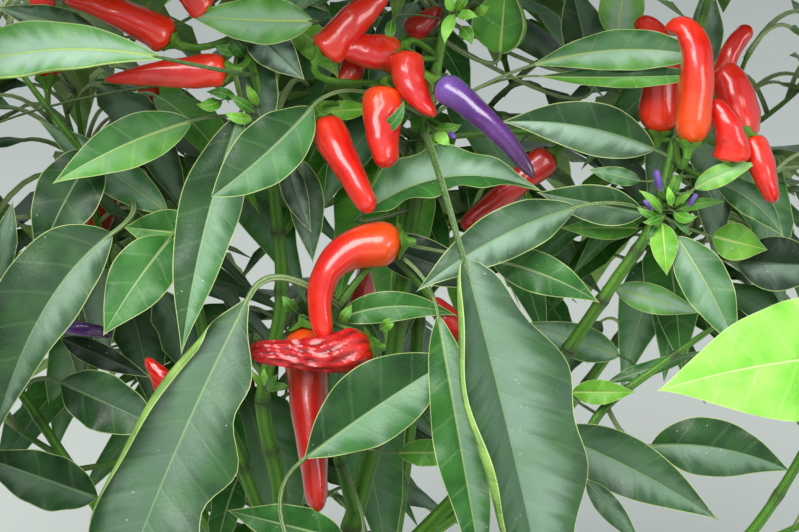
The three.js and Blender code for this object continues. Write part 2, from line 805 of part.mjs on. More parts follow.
// Leaves and fruit of one mass that the front view shows, on the mass's own shoot.
function growShown(limb) {
  const leaves = SHOWN_LEAVES.filter((row) => row.mass === limb.name);
  const fruit = SHOWN_FRUIT.filter((row) => row.mass === limb.name);
  const mass = {
    leaves: leaves.map((row) => shownLeaf(row, limb)),
    fruit: fruit.map((row) => shownFruit(row, limb)),
    twigs: [],
  };
  for (const leaf of mass.leaves) takeRoom(limb.name, leafMarks(leaf));
  for (const item of mass.fruit) takeRoom(limb.name, fruitMarks(item));
  return mass;
}

// Twigs, leaves and fruit that the rule adds. A leaf grows at each fork. The twig forks off
// a golden angle on from the one before, carries leaves by turns, and every other one a fruit.
const FORK_LEAF_SWING = 2.4; // radians
const TWIG_SIZES = [0.75, 0.5];
const LEAF_PLACES = [[0.3, 1.3], [0.5, -1.5], [0.7, 0.2], [0.86, 2.2], [0.98, -2]]; // along, angle
function growByRule(limb, mass) {
  const { name, curve, starts, twigs, random } = limb;
  const outward = curve.getPoint(1).sub(CROWN_MIDDLE);
  for (let index = 0; index < twigs; index++) {
    const along = starts + (1 - starts) * ((index + 1) / twigs);
    const start = curve.getPoint(along);
    const angle = Math.atan2(outward.y, outward.x) + index * GOLDEN_ANGLE;
    growOne(limb, mass.leaves, ruleLeaf, leafMarks, start, angle + FORK_LEAF_SWING, ROOM_IN_MASS);
    const length = TWIG_LENGTH * dealt(random, TWIG_SIZES);
    const end = start.clone().addScaledVector(rising(angle, TWIG_RISE), length);
    const middle = start.clone().lerp(end, 0.5).addScaledVector(level(angle), TWIG_ARCH * length);
    const twig = bent(start, middle, end);
    const marks = lineMarks(twig, 6).slice(2);
    if (!hasRoom(name, marks, ROOM_IN_MASS)) continue;
    takeRoom(name, marks);
    mass.twigs.push(twig);
    for (const [place, swing] of LEAF_PLACES) {
      const joint = twig.getPoint(place);
      growOne(limb, mass.leaves, ruleLeaf, leafMarks, joint, angle + swing, ROOM_IN_MASS);
    }
    if (index % 2 === 0)
      growOne(limb, mass.fruit, ruleFruit, fruitMarks, end, angle, ROOM_FOR_FRUIT);
  }
}

const masses = limbs.map(growShown);
limbs.forEach((limb, index) => growByRule(limb, masses[index]));

// One mass: its shoot, twigs, leaves and fruit fused into one body.
const SHOWN_STATIONS = [0.2, 0.48, 0.8]; // rings of a blade along its length
const RULE_STATIONS = [0.26, 0.7];
const SHOOT_RINGS = 7;
const TWIG_RINGS = 2;
function massSolid({ curve, starts, radii }, mass) {
  const shootRadii = [radii[1], SHOOT_END_RADIUS];
  const pieces = [rod(curve, starts, 1, SHOOT_RINGS, SHOOT_SIDES, shootRadii)];
  for (const twig of mass.twigs)
    pieces.push(rod(twig, 0, 1, TWIG_RINGS, TWIG_SIDES, TWIG_RADII));
  for (const leaf of mass.leaves)
    pieces.push(leafSolid(leaf, leaf.shown ? SHOWN_STATIONS : RULE_STATIONS));
  for (const fruit of mass.fruit) pieces.push(fruitSolid(fruit));
  return largestBody(pieces.reduce((whole, piece) => whole.add(piece)));
}

// Bough of a limb, grown by an extra radius where it has to clear its neighbours.
const BOUGH_RINGS = 5;
function boughRod({ curve, enters, radii }, extra) {
  return rod(curve, 0, enters, BOUGH_RINGS, BOUGH_SIDES, radii.map((radius) => radius + extra));
}

// Main stem with level rings: a lobed flare at the ground, a taper and a knuckle at the fork.
const STEM_LEAN = [vec(0, 0, 0), vec(-4, 1, 50), vec(-9, 2, 100), vec(-12, 3, FORK_HEIGHT)];
const STEM_RINGS = [0, 0.03, 0.08, 0.17, 0.35, 0.55, 0.75, 0.9, 0.97, 1]; // share of the height
const FLARE_FALL = 2.4; // how fast the flare dies away over its height
const FLARE_LOBES = 4;
const LOBE_DEPTH = 0.14;
const KNUCKLE_FALL = 14;
const STEM_CAP = 2; // height of the low cone on top
function mainStem(extra) {
  const lean = smooth(STEM_LEAN);
  const rings = STEM_RINGS.map((share) => {
    const middle = lean.getPoint(share);
    const flare = Math.exp((-share * FORK_HEIGHT * FLARE_FALL) / FLARE_HEIGHT);
    const knuckle = Math.exp(-(((1 - share) * KNUCKLE_FALL) ** 2));
    const taper = FOOT_RADIUS + (FORK_RADIUS - FOOT_RADIUS) * share;
    const radius =
      taper + (FLARE_RADIUS - FOOT_RADIUS) * flare + (KNUCKLE_RADIUS - FORK_RADIUS) * knuckle;
    return Array.from({ length: STEM_SIDES }, (_, side) => {
      const angle = (2 * Math.PI * side) / STEM_SIDES;
      const lobed = radius * (1 + LOBE_DEPTH * flare * Math.cos(FLARE_LOBES * angle)) + extra;
      return middle.clone().addScaledVector(level(angle), lobed);
    });
  });
  const top = lean.getPoint(1).add(vec(0, 0, STEM_CAP + extra));
  return loft(rings, lean.getPoint(0), top);
}

const STEM_GREEN = new THREE.MeshStandardMaterial({ color: 0x55703a, roughness: 0.55, metalness: 0 });
const LEAF_GREEN = new THREE.MeshStandardMaterial({ color: 0x2f5132, roughness: 0.5, metalness: 0 });

function meshOf(name, solid, material) {
  const { vertProperties, triVerts } = solid.getMesh();
  const geometry = new THREE.BufferGeometry()
    .setAttribute("position", new THREE.BufferAttribute(vertProperties, 3))
    .setIndex(new THREE.BufferAttribute(triVerts, 1));
  const mesh = new THREE.Mesh(geometry, material);
  mesh.name = name;
  return mesh;
}

const plant = new THREE.Group();
plant.add(meshOf("main_stem", mainStem(0), STEM_GREEN));

const grownLimbs = [mainStem(CLEAR)];
for (const limb of limbs) {
  const bough = grownLimbs.reduce((rest, other) => rest.subtract(other), boughRod(limb, 0));
  grownLimbs.push(boughRod(limb, CLEAR));
  plant.add(meshOf("bough_" + limb.name, largestBody(bough), STEM_GREEN));
}
limbs.forEach((limb, index) => {
  plant.add(meshOf("mass_" + limb.name, massSolid(limb, masses[index]), LEAF_GREEN));
});

export default plant;
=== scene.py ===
# %% [markdown]
# # A chilli pepper plant in fruit
# This lesson dresses a fixed frame of plain solids as a living chilli pepper plant. The real
# plant is a short forked stem with ridged green boughs, hanging pointed leaves and glossy pods.
# The frame could be shown as it is, but its leaves are faceted blocks. So every solid is
# replaced by a finer piece that keeps to the same place. Sizes in this script are in
# millimetres, and MM turns them into Blender's metres.

# %% Load the frame
import math

import bmesh
import bpy
import numpy as np
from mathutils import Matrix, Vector


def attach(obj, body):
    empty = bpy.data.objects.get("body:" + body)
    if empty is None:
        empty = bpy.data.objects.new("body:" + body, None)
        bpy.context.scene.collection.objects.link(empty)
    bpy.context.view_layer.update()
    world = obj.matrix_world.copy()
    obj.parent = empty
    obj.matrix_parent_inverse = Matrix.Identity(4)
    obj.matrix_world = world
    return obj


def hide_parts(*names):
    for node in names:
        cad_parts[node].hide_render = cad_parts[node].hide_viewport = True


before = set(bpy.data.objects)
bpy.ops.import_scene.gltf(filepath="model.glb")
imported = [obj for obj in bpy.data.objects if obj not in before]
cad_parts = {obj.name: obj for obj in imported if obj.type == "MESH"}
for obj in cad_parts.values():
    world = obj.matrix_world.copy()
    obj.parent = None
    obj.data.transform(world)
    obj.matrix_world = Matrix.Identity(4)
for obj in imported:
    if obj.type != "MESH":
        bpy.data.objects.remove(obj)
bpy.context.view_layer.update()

MM = 0.001

# %% [markdown]
# ## Camera and front view
# The camera looks down by 20 degrees at the fruiting part of the crown, from the place that
# a person who bends over the plant would take. A lens is set by a wanted width at a wanted
# distance, so that one image column is a known number of millimetres. Each leaf and pod of
# the front is then placed by column, row and nearness, which is simpler than three lengths.

# %% Camera
IMAGE_COLUMNS, IMAGE_ROWS = 799, 532
VIEW_TARGET = np.array([12.0, 0.0, 400.0])
VIEW_DISTANCE = 750.0
VIEW_TILT = math.radians(20)
VIEW_PIXEL = 0.42  # millimetres at the middle plane
AHEAD = np.array([0.0, math.cos(VIEW_TILT), -math.sin(VIEW_TILT)])
OVERHEAD = np.array([0.0, math.sin(VIEW_TILT), math.cos(VIEW_TILT)])
UP = np.array([0.0, 0.0, 1.0])

camera = bpy.data.objects.new("camera", bpy.data.cameras.new("camera"))
camera.location = (VIEW_TARGET - AHEAD * VIEW_DISTANCE) * MM
camera.rotation_euler = (math.pi / 2 - VIEW_TILT, 0, 0)
camera.data.lens = camera.data.sensor_width * VIEW_DISTANCE / (VIEW_PIXEL * IMAGE_COLUMNS)
bpy.context.collection.objects.link(camera)
bpy.context.scene.camera = camera


def pixel_at(near):
    """Millimetres that one image column covers at a nearness to the viewer."""
    return VIEW_PIXEL * (VIEW_DISTANCE - near) / VIEW_DISTANCE


def seen(place):
    """A place in the front view, as column, row and nearness, as a point of the plant."""
    column, row, near = place
    sideways = np.array([(column - IMAGE_COLUMNS / 2) * pixel_at(near), 0, 0])
    return VIEW_TARGET + sideways + OVERHEAD * (IMAGE_ROWS / 2 - row) * pixel_at(near) - AHEAD * near


def place_in_view(points):
    """Columns, rows and nearness of points of the plant."""
    offset = points - VIEW_TARGET
    near = -offset @ AHEAD
    pixel = pixel_at(near)
    return IMAGE_COLUMNS / 2 + offset[:, 0] / pixel, IMAGE_ROWS / 2 - offset @ OVERHEAD / pixel, near


print("camera: lens", round(camera.data.lens, 2), "mm")

# %% [markdown]
# ## Curves and seeded chance
# Stems, leaf ribs and pods all follow curves. Limbs run smoothly through given points, and
# leaves and pods need only three: start, bend and end. Chance comes from a small generator
# with a seed for each limb, so that the plant grows the same way on each run.

# %% Curves and chance


def unit(vectors):
    return vectors / np.linalg.norm(vectors, axis=-1, keepdims=True)


def bent_at(curve, along):
    """Points of a curve of three control points."""
    along = np.asarray(along, float)[..., None]
    rest = 1 - along
    return rest**2 * curve[0] + 2 * rest * along * curve[1] + along**2 * curve[2]


def bent_way(curve, along):
    """Directions of that curve."""
    along = np.asarray(along, float)[..., None]
    return unit((1 - along) * (curve[1] - curve[0]) + along * (curve[2] - curve[1]))


def smooth_at(points, along):
    """Points of a smooth curve through all the given points."""
    ends = np.vstack([2 * points[0] - points[1], points, 2 * points[-1] - points[-2]])
    place = np.clip(np.asarray(along, float), 0, 1) * (len(points) - 1)
    span = np.minimum(place.astype(int), len(points) - 2)
    share = (place - span)[..., None]
    before, start, end, after = (ends[span + step] for step in range(4))
    leave, arrive = (end - before) / 2, (after - start) / 2
    square = 3 * (end - start) - 2 * leave - arrive
    cube = 2 * (start - end) + leave + arrive
    return start + share * (leave + share * (square + share * cube))


def seeded(seed):
    """Numbers from 0 to 1 that are the same on each run."""
    whole = 0xFFFFFFFF
    state = seed & whole

    def draw():
        nonlocal state
        state = (state + 0x6D2B79F5) & whole
        mixed = (state ^ state >> 15) * (state | 1) & whole
        mixed = (mixed + ((mixed ^ mixed >> 7) * (mixed | 61) & whole) & whole) ^ mixed
        return (mixed ^ mixed >> 14) / (whole + 1)

    return draw


def dealt(random, least_and_range):
    """A number by chance, from a least one up to that plus a range."""
    least, span = least_and_range
    return least + span * random()


def level(angle):
    return np.array([math.cos(angle), math.sin(angle), 0.0])


def rising(angle, rise):
    return level(angle) * math.cos(rise) + UP * math.sin(rise)


print("two draws with seed 11:", [round(draw(), 3) for draw in [seeded(11)] * 2])

# %% [markdown]
# ## Limbs
# Each limb starts on its parent limb and ends at the tip of a shoot. Its lower part is a bare
# bough, and from the point named by "enters" on it carries leaves. The points are the same as
# the frame's, so that boughs and shoots lie where its solids lie.

# %% Limbs
LIMBS = {
    "centre": dict(
        path=[(-12, 3, 146), (-18, 2, 210), (-11, 0, 268), (1, 0, 320), (8, -1, 350), (14, 0, 396),
              (22, 10, 452), (31, 22, 500), (38, 27, 545)],
        enters=4, radii=(5.2, 3.9), seed=11, twigs=8),
    "left": dict(
        path=[(-12, 3, 144), (-33, 1, 200), (-42, -1, 250), (-41, 0, 296), (-47, 0, 338), (-38, 0, 384),
              (-40, 1, 432), (-46, 4, 476), (-56, 6, 518), (-72, 4, 556)],
        enters=4, radii=(4.1, 3.2), seed=22, twigs=9),
    "right": dict(
        path=[(-14, 1, 236), (20, 0, 272), (56, 0, 316), (84, 0, 362), (102, 0, 392), (118, 1, 420),
              (127, 10, 456), (136, 22, 496), (146, 20, 538)],
        enters=3, radii=(3.5, 2.8), seed=33, twigs=9),
    "middle": dict(
        path=[(-8, 0, 284), (-10, -12, 300), (-13, -22, 320), (-17, -32, 350), (-17, -35, 384),
              (-6, -32, 404), (10, -22, 418)],
        enters=2, radii=(3, 2.6), seed=44, twigs=3),
    "mid_left": dict(
        path=[(-42, -1, 262), (-58, 8, 304), (-70, 12, 344), (-76, 12, 380), (-86, 8, 410),
              (-104, 4, 432), (-124, 4, 456), (-146, 8, 486)],
        enters=3, radii=(3, 2.4), seed=55, twigs=4),
    "low_left": dict(
        path=[(-36, 0, 212), (-70, -14, 232), (-98, -23, 262), (-113, -27, 294), (-134, -18, 326),
              (-156, -8, 358), (-178, 0, 396), (-190, 4, 430)],
        enters=3, radii=(3, 2.4), seed=66, twigs=5),
    "low_right": dict(
        path=[(-16, 2, 190), (24, -10, 212), (58, -18, 244), (80, -20, 278), (88, -20, 312),
              (97, -10, 336), (124, -2, 356), (152, 6, 374)],
        enters=3, radii=(3.2, 2.6), seed=77, twigs=5),
    "front_right": dict(
        path=[(30, -12, 214), (74, -48, 236), (106, -76, 268), (130, -98, 306), (150, -112, 346),
              (166, -116, 390), (174, -108, 432)],
        enters=3, radii=(2.8, 2.3), seed=88, twigs=7),
    "front_left": dict(
        path=[(-74, -16, 235), (-102, -46, 252), (-128, -72, 282), (-146, -90, 318),
              (-160, -98, 358), (-168, -94, 402)],
        enters=2, radii=(2.6, 2.2), seed=99, twigs=7),
    "low_front": dict(
        path=[(-9, 2, 112), (-2, -36, 142), (8, -66, 176), (12, -88, 212), (8, -106, 250),
              (0, -120, 290)],
        enters=2, radii=(3.2, 2.6), seed=110, twigs=6),
    "low_back": dict(
        path=[(-11, 3, 126), (-26, 42, 156), (-38, 74, 190), (-48, 100, 226), (-52, 120, 266),
              (-50, 134, 308)],
        enters=2, radii=(3.2, 2.6), seed=121, twigs=6),
    "back": dict(
        path=[(-12, 3, 140), (-2, 32, 190), (10, 62, 244), (18, 86, 300), (22, 104, 352),
              (22, 118, 404), (18, 126, 456), (14, 128, 504)],
        enters=4, radii=(4.2, 3), seed=132, twigs=8),
    "back_left": dict(
        path=[(-8, 24, 176), (-50, 48, 206), (-86, 70, 250), (-108, 86, 300), (-124, 96, 350),
              (-134, 100, 402), (-138, 98, 450)],
        enters=3, radii=(3.2, 2.6), seed=143, twigs=9),
    "back_right": dict(
        path=[(6, 54, 228), (46, 72, 250), (86, 88, 284), (118, 98, 326), (142, 102, 372),
              (158, 100, 420), (166, 94, 462)],
        enters=3, radii=(3, 2.5), seed=154, twigs=9),
}
CLEAR = 0.3  # from a bough's tip to the shoot that goes on from it
STRIDE = 0.01  # share of a limb that its pace at the bough's tip is measured over
for name, limb in LIMBS.items():
    points = np.array(limb["path"], float)
    share = limb["enters"] / (len(points) - 1)
    stride = smooth_at(points, share + STRIDE) - smooth_at(points, share)
    limb.update(name=name, points=points, share=share, random=seeded(limb["seed"]))
    limb["starts"] = share + STRIDE * CLEAR / np.linalg.norm(stride)
print("limbs:", len(LIMBS))

# %% [markdown]
# ## Leaves and pods of the front
# The leaves and pods that face the viewer are each listed one by one: where the blade or pod
# starts, where its tip is, its width and its bow, all in columns and rows of the front view.
# What else differs from leaf to leaf, such as a rolled edge, is named only where it does.

# %% Leaves and pods of the front


def row(base, tip, wide, bow, look, **special):
    """A leaf or pod of the front: its ends as column, row and nearness, its width, its bow."""
    return dict(base=base, tip=tip, wide=wide, bow=bow, look=look, **special)


# A leaf's look names the skin of each half if they differ: a tint and a step of painted sheen.
# Where the two halves of one leaf differ in tint, the difference paints how the light falls on
# each half. drawn says where its finer line differs.
SHOWN_LEAVES = {
    "centre": [
        row((463, 256, 70), (556, 655, 74), 150, 4, "dark_1 dark_2", joint=(428, 150, 5), turn=-0.56,
            fold=0.6, roll=(2.5, 0), roll_start=0.74, cup=0.8,
            sway=((0.05, 2.3, None), (0.14, 3.3, 0.28)), points=(0.85, 1.15), drawn=dict(reach=0.75)),
        row((312, 107, 40), (211, 197, 60), 64, 4, "dark_0 mid_1", fold=0.3, points=(0.8, 1.0)),
        row((362, 214, 34), (542, 191, 46), 66, 26, "mid_0 mid_3", turn=-0.6, fold=0.6, cup=0.4,
            drawn=dict(base=(362, 214, 22), tip=(542, 191, 34))),
        row((548, 64, 14), (690, 60, 20), 40, 10, "bright_4 mid_1", joint=(436, 118, 8),
            points=(1.2, 0.9), drawn=dict(base=(530, 66, 16), tip=(702, 56, 34), wide=42, bow=11)),
        row((560, 80, 4), (690, 84, 6), 22, 0, "bright_0 dark_0", joint=(436, 126, 8), points=(1.1, 0.9),
            drawn=dict(base=(536, 76, 14), tip=(706, 74, 32), bow=-2)),
        row((500, 54, 4), (506, -18, 10), 62, 0, "bright_0", fold=0.1, roll=(3.4, 0)),
        row((592, 70, -22), (570, -20, -18), 46, 0, "dark_1 dark_0"),
        row((617, 40, -12), (628, -40, -8), 46, 0, "lime_4", fold=0.1),
        row((368, 109, 18), (306, 112, 22), 20, 0, "lime_0"),
    ],
    "left": [
        row((192, 121, 24), (52, 184, 40), 52, -6, "mid_0 bright_1", joint=(250, 118, 4)),
        row((240, 114, 30), (181, 356, 46), 62, -7, "dark_0 mid_2", fold=0.3),
        row((214, 58, 66), (-72, 54, 58), 60, 8, "bright_4", joint=(262, 70, 4), roll=(0, 2.4),
            points=(1.2, 1.2), drawn=dict(base=(168, 59, 72), tip=(-110, 95, 58), bow=-25, reach=0.6)),
        row((314, 21, 36), (186, 15, 42), 48, 2, "bright_3"),
        row((243, 40, 16), (268, 150, 22), 50, 0, "dark_1", roll=(4.2, 0), roll_start=0.5),
        row((246, 22, 26), (305, 80, 32), 42, 0, "shade_3 shade_2"),
        row((290, 24, 16), (338, 78, 22), 34, 6, "lime_0"),
        row((302, 160, 6), (313, 264, 12), 36, 0, "dark_2 dark_1"),
        row((286, 158, 16), (312, 233, 22), 26, -3, "shade_1 shade_2"),
        row((100, 34, 26), (-6, 6, 30), 32, 0, "dark_1 dark_2"),
    ],
    "right": [
        row((577, 207, 30), (416, 292, 54), 52, -10, "dark_1 dark_3", joint=(652, 216, 2)),
        row((655, 150, 12), (500, 122, 20), 54, -10, "dark_0 dark_4"),
        row((676, 236, 20), (738, 352, 28), 50, 4, "mid_3 mid_1", fold=0.25),
        row((662, 222, 18), (667, 276, 24), 28, 0, "lime_0", fold=0.1),
        row((715, 181, 14), (784, 238, 20), 32, 8, "mid_1 mid_2"),
        row((695, 187, 22), (757, 162, 28), 20, 3, "lime_2",
            drawn=dict(base=(694, 189, 34), tip=(758, 163, 40), wide=22)),
        row((712, 236, 0), (768, 250, 2), 38, 0, "lime_0", fold=0.1),
        row((736, 262, -10), (836, 266, -8), 56, 0, "shade_2 shade_0"),
        row((641, 181, 10), (587, 169, 14), 18, 0, "mid_2 mid_1"),
        row((644, 214, 12), (536, 192, 16), 40, 0, "dark_0 dark_1"),
        row((640, 228, 0), (560, 228, 2), 24, 0, "bright_0"),
        row((614, 288, -20), (702, 313, -20), 30, 0, "bright_4"),
        row((705, 72, -12), (708, -22, -10), 34, 0, "dark_2"),
    ],
    "middle": [
        row((438, 314, 50), (488, 606, 54), 52, 0, "mid_0 mid_2", joint=(404, 262, 24),
            sway=((0.06, 2.3, None), (0.06, 2.3, None))),
        row((243, 303, 52), (98, 655, 72), 114, -6, "dark_1", joint=(318, 286, 28), roll=(4.5, 0.6),
            roll_start=0.5, roll_from=0.08, unroll=0.85, sway=((0.06, 2.3, None), (0.16, 4.05, 0.5)),
            shares=(1, 0.9), points=(1.1, 1.1), cup=1.0,
            drawn=dict(base=(250, 295, 52), wide=132, bow=-8)),
        row((335, 320, 26), (458, 316, 30), 32, 12, "mid_0"),
        row((490, 260, 22), (600, 303, 26), 42, 6, "mid_0"),
        row((366, 240, 10), (500, 288, 10), 46, 0, "shade_0"),
        row((398, 453, 14), (470, 452, 18), 28, 0, "bright_0"),
        row((346, 540, 22), (226, 510, 34), 46, 0, "mid_0"),
    ],
    "mid_left": [
        row((172, 236, 26), (103, 336, 42), 62, -3, "mid_0"),
        row((200, 235, 22), (123, 227, 30), 44, 0, "mid_0 bright_0",
            drawn=dict(base=(200, 235, 10), tip=(123, 227, 14), wide=46)),
        row((168, 212, 10), (37, 119, 12), 42, 0, "mid_3 mid_2"),
        row((116, 232, 38), (-58, 424, 60), 96, 0, "dark_0 dark_2", shares=(1.1, 0.66),
            drawn=dict(base=(113, 233, 38), tip=(-10, 450, 60), bow=-22, bend=0.36)),
        row((97, 148, 20), (36, 266, 30), 66, -4, "dark_0"),
    ],
    "low_left": [
        row((-2, 280, 30), (13, 200, 34), 26, 0, "dark_2"),
        row((60, 382, 14), (170, 432, 24), 60, 0, "dark_0 dark_1", joint=(20, 388, 0)),
        row((60, 338, -4), (152, 378, 0), 26, 0, "shade_0"),
        row((98, 498, 24), (-30, 452, 40), 58, 0, "dark_0 dark_1"),
    ],
    "low_right": [
        row((620, 356, -36), (522, 322, -36), 36, 0, "mid_3"),
        row((572, 392, -12), (636, 392, -8), 26, 0, "lime_0"),
        row((608, 382, -24), (706, 350, -24), 16, 0, "mid_1"),
        row((548, 432, 0), (720, 521, 10), 62, 6, "dark_2 dark_1"),
        row((650, 446, -8), (792, 472, 0), 60, 10, "dark_2 dark_0"),
        row((586, 480, 14), (642, 546, 20), 24, 0, "dark_1 dark_2"),
    ],
    "front_right": [
        row((905, 322, 122), (657, 388, 132), 124, -10, "young_0", fold=0.3,
            drawn=dict(base=(905, 354, 122), tip=(657, 391, 132))),
    ],
    "low_front": [
        row((302, 461, 40), (447, 368, 46), 76, 4, "mid_2 dark_0", fold=0.3, points=(1.2, 1.2),
            shares=(0.95, 1.2), drawn=dict(base=(303, 460, 40), tip=(458, 355, 46), wide=75, bow=3)),
    ],
}
# The looks deep and late paint pods darker for the shade they lie in.
SHOWN_PODS = {
    "left": [
        row((172, 41, 34), (60, -8, 40), 35, -4, "red"),
        row((228, 68, 46), (104, 80, 46), 36, -4, "red", taper=(0.8, 1.5),
            drawn=dict(base=(228, 70, 40), tip=(104, 80, 42), bow=-2)),
        row((206, 10, 40), (166, -34, 44), 30, 0, "red"),
    ],
    "centre": [
        row((322, 54, 34), (384, -10, 34), 38, 0, "red"),
        row((398, 56, 28), (342, 48, 34), 38, 0, "orange"),
        row((346, 84, 16), (362, 44, 14), 26, 0, "orange"),
        row((405, 54, 38), (436, 116, 44), 36, -8, "red", taper=(0.75, 1.8)),
        row((384, 90, 36), (388, 168, 44), 40, -4, "orange"),
        row((322, 120, 34), (372, 212, 46), 34, 0, "red"),
        row((437, 82, 46), (534, 178, 56), 31, 8, "purple", taper=(0.72, 1.7)),
        row((552, 154, 2), (462, 228, 6), 30, 0, "deep"),
        row((410, 34, 4), (442, 10, 6), 26, 0, "deep"),
    ],
    "middle": [
        row((402, 242, 36), (327, 343, 40), 47, -42, "orange", taper=(0.58, 0.9)),
        row((368, 355, 38), (250, 350, 40), 54, 0, "shrivelled", wrinkle=0.22, taper=(0.68, 0.75),
            shoulder=0.2, drawn=dict(base=(372, 349, 38), tip=(248, 350, 42), bow=5)),
        row((303, 334, 24), (318, 512, 28), 42, 0, "late", taper=(0.5, 1.6),
            drawn=dict(base=(303, 328, 18))),
        row((464, 336, 22), (430, 300, 24), 26, 0, "deep"),
    ],
    "low_left": [
        row((64, 326, 4), (112, 334, 6), 16, 0, "purple"),
        row((176, 396, 30), (146, 358, 32), 30, 0, "red", wrinkle=0.1, taper=(0.75, 1.3)),
    ],
    "right": [
        row((655, 134, 26), (632, 24, 30), 41, -12, "red", taper=(0.7, 2.8),
            drawn=dict(base=(658, 134, 8), tip=(634, 25, 12), bow=-17, bend=0.96)),
        row((690, 146, 38), (664, 30, 42), 36, -27, "orange", taper=(0.75, 2.9),
            drawn=dict(base=(689, 145, 50), tip=(665, 29, 52), bow=-25.4, bend=1.07)),
        row((745, 137, 22), (718, 60, 24), 40, -5, "red", taper=(0.3, 2.6),
            drawn=dict(base=(741, 139, 22), tip=(719, 67, 24), bow=-7)),
        row((722, 92, 6), (752, 26, 8), 22, 5, "red", taper=(0.3, 2),
            drawn=dict(tip=(751, 27, 8), bow=8)),
        row((730, 162, 40), (708, 100, 44), 35, 4, "red", taper=(0.6, 1.8),
            drawn=dict(base=(731, 161, 40), tip=(710, 100, 44), bow=-8)),
        row((748, 140, 30), (777, 200, 34), 30, 8, "red", taper=(0.5, 1.6),
            drawn=dict(base=(751, 139, 34), tip=(774, 203, 38), bow=1)),
    ],
}
print("front leaves:", sum(map(len, SHOWN_LEAVES.values())))
print("front pods:", sum(map(len, SHOWN_PODS.values())))

# %% [markdown]
# ## Leaf and pod as curves
# A leaf is a stalk and a midrib with a blade spread across it, and a pod is a stalk and a middle
# line with a radius. Each is first worked out as curves only, because room has to be found for it
# before any mesh is made.

# %% Leaf and pod as curves
STALK_LENGTH = 34.0
STALK_RISE = 0.5  # radians
STALK_SWING = 0.45  # of its span, from the blade back to its elbow
BLADE_LENGTH = 108.0
BLADE_SLENDERNESS = 2.7  # length over width
BLADE_WIDEST = 0.38  # share of the length from the base
BLADE_FULLNESS = 1.5
LEAF_ARCH = 4.0  # how far a midrib of the front bulges to the viewer
LEAF_SIZES = (0.78, 0.44)  # least, and what chance may add
STALK_SIZES = (0.8, 0.4)
DROOPS = (0.25, 0.85)  # radians
TURNS = (-0.25, 0.5)  # radians
RIB_BEND = (0.45, 0.2)  # along the blade, and up by a share of its length
FACE_OUT = 0.6  # how far an upper face leans outwards
POD_LENGTH = 58.0
POD_RADIUS = 7.0
POD_ARCH = 2.0
POD_SIZES = (0.75, 0.4)
POD_WIDTHS = (0.85, 0.3)
POD_LEANS = (0.9, 0.5)  # radians up from level
POD_BEND = 0.12  # outwards, by a share of its length
POD_STALK_LENGTH = 20.0
POD_STALK_RISE = 0.7  # radians
SHOOT_STEPS = 24  # places on a shoot where a stalk of the front may start


def blade_outline(along):
    """Half width of a blade along its length, as a share of the widest half."""
    rise = BLADE_WIDEST * BLADE_FULLNESS
    fall = (1 - BLADE_WIDEST) * BLADE_FULLNESS
    return (along / BLADE_WIDEST) ** rise * ((1 - along) / (1 - BLADE_WIDEST)) ** fall


def blade_across(leaf, along):
    """Directions across a blade; its fold and its upper face follow from them."""
    ahead = bent_way(leaf["midrib"], along)
    across = unit(np.cross(leaf["face"], ahead))
    turn = leaf["turn"]
    return across * math.cos(turn) + np.cross(ahead, across) * math.sin(turn)


def shown_midrib(item, arch):
    """Middle line of a leaf or pod of the front, bowed to one side and arched to the viewer."""
    base, tip = item["base"], item["tip"]
    aside = np.array([tip[1] - base[1], base[0] - tip[0]], float)
    aside *= 2 * item["bow"] / np.linalg.norm(aside)
    middle = base + np.subtract(tip, base) * item.get("bend", 0.5) + [*aside, 2 * arch]
    return np.array([seen(base), seen(middle), seen(tip)])


def stalked(item, joint):
    """Adds a stalk that leaves a joint and swings round into the way of what it carries."""
    base = item["midrib"][0]
    reach = np.linalg.norm(base - joint) * item.get("reach", STALK_SWING)
    item["stalk"] = np.array([joint, base - bent_way(item["midrib"], 0) * reach, base])
    return item


def nearest_on_shoot(limb, point):
    """The point of a limb's shoot, in steps, that is nearest to a given one."""
    along = limb["starts"] + (1 - limb["starts"]) * np.arange(SHOOT_STEPS + 1) / SHOOT_STEPS
    places = smooth_at(limb["points"], along)
    return places[np.argmin(np.linalg.norm(places - point, axis=1))]


def shown_leaf(row, limb):
    leaf = dict(turn=0.0, face=-AHEAD, shown=True, row=row) | row
    leaf["midrib"] = shown_midrib(row, LEAF_ARCH)
    leaf["wide"] = row["wide"] * pixel_at((row["base"][2] + row["tip"][2]) / 2)
    return stalked(leaf, nearest_on_shoot(limb, seen(row.get("joint", row["base"]))))


def shown_pod(row, limb):
    pod = dict(shown=True, row=row, midrib=shown_midrib(row, POD_ARCH)) | row
    pod["radius"] = row["wide"] * pixel_at(row["base"][2]) / 2
    return stalked(pod, nearest_on_shoot(limb, pod["midrib"][0]))


def rule_leaf(joint, angle, random, scale=1.0):
    """A leaf made by the rule: its stalk rises from the twig and its blade arches over."""
    size = dealt(random, LEAF_SIZES) * scale
    stalk = STALK_LENGTH * size * dealt(random, STALK_SIZES)
    droop = dealt(random, DROOPS)
    length = BLADE_LENGTH * size
    base = joint + rising(angle, STALK_RISE) * stalk
    tip = base + rising(angle, -droop) * length
    along, up = RIB_BEND
    middle = base + (tip - base) * along + UP * up * length
    leaf = dict(midrib=np.array([base, middle, tip]), face=UP + level(angle) * FACE_OUT,
                turn=dealt(random, TURNS), wide=length / BLADE_SLENDERNESS)
    return stalked(leaf, joint)


def rule_pod(joint, angle, random):
    """A pod made by the rule: it stands up from the end of a twig."""
    length = POD_LENGTH * dealt(random, POD_SIZES)
    lean = dealt(random, POD_LEANS)
    base = joint + rising(angle, POD_STALK_RISE) * POD_STALK_LENGTH
    tip = base + rising(angle, lean) * length
    middle = (base + tip) / 2 + level(angle) * POD_BEND * length
    pod = dict(midrib=np.array([base, middle, tip]), radius=POD_RADIUS * dealt(random, POD_WIDTHS))
    return stalked(pod, joint)


print("a blade made by the rule:", BLADE_LENGTH, "by", BLADE_LENGTH / BLADE_SLENDERNESS, "mm at size 1")
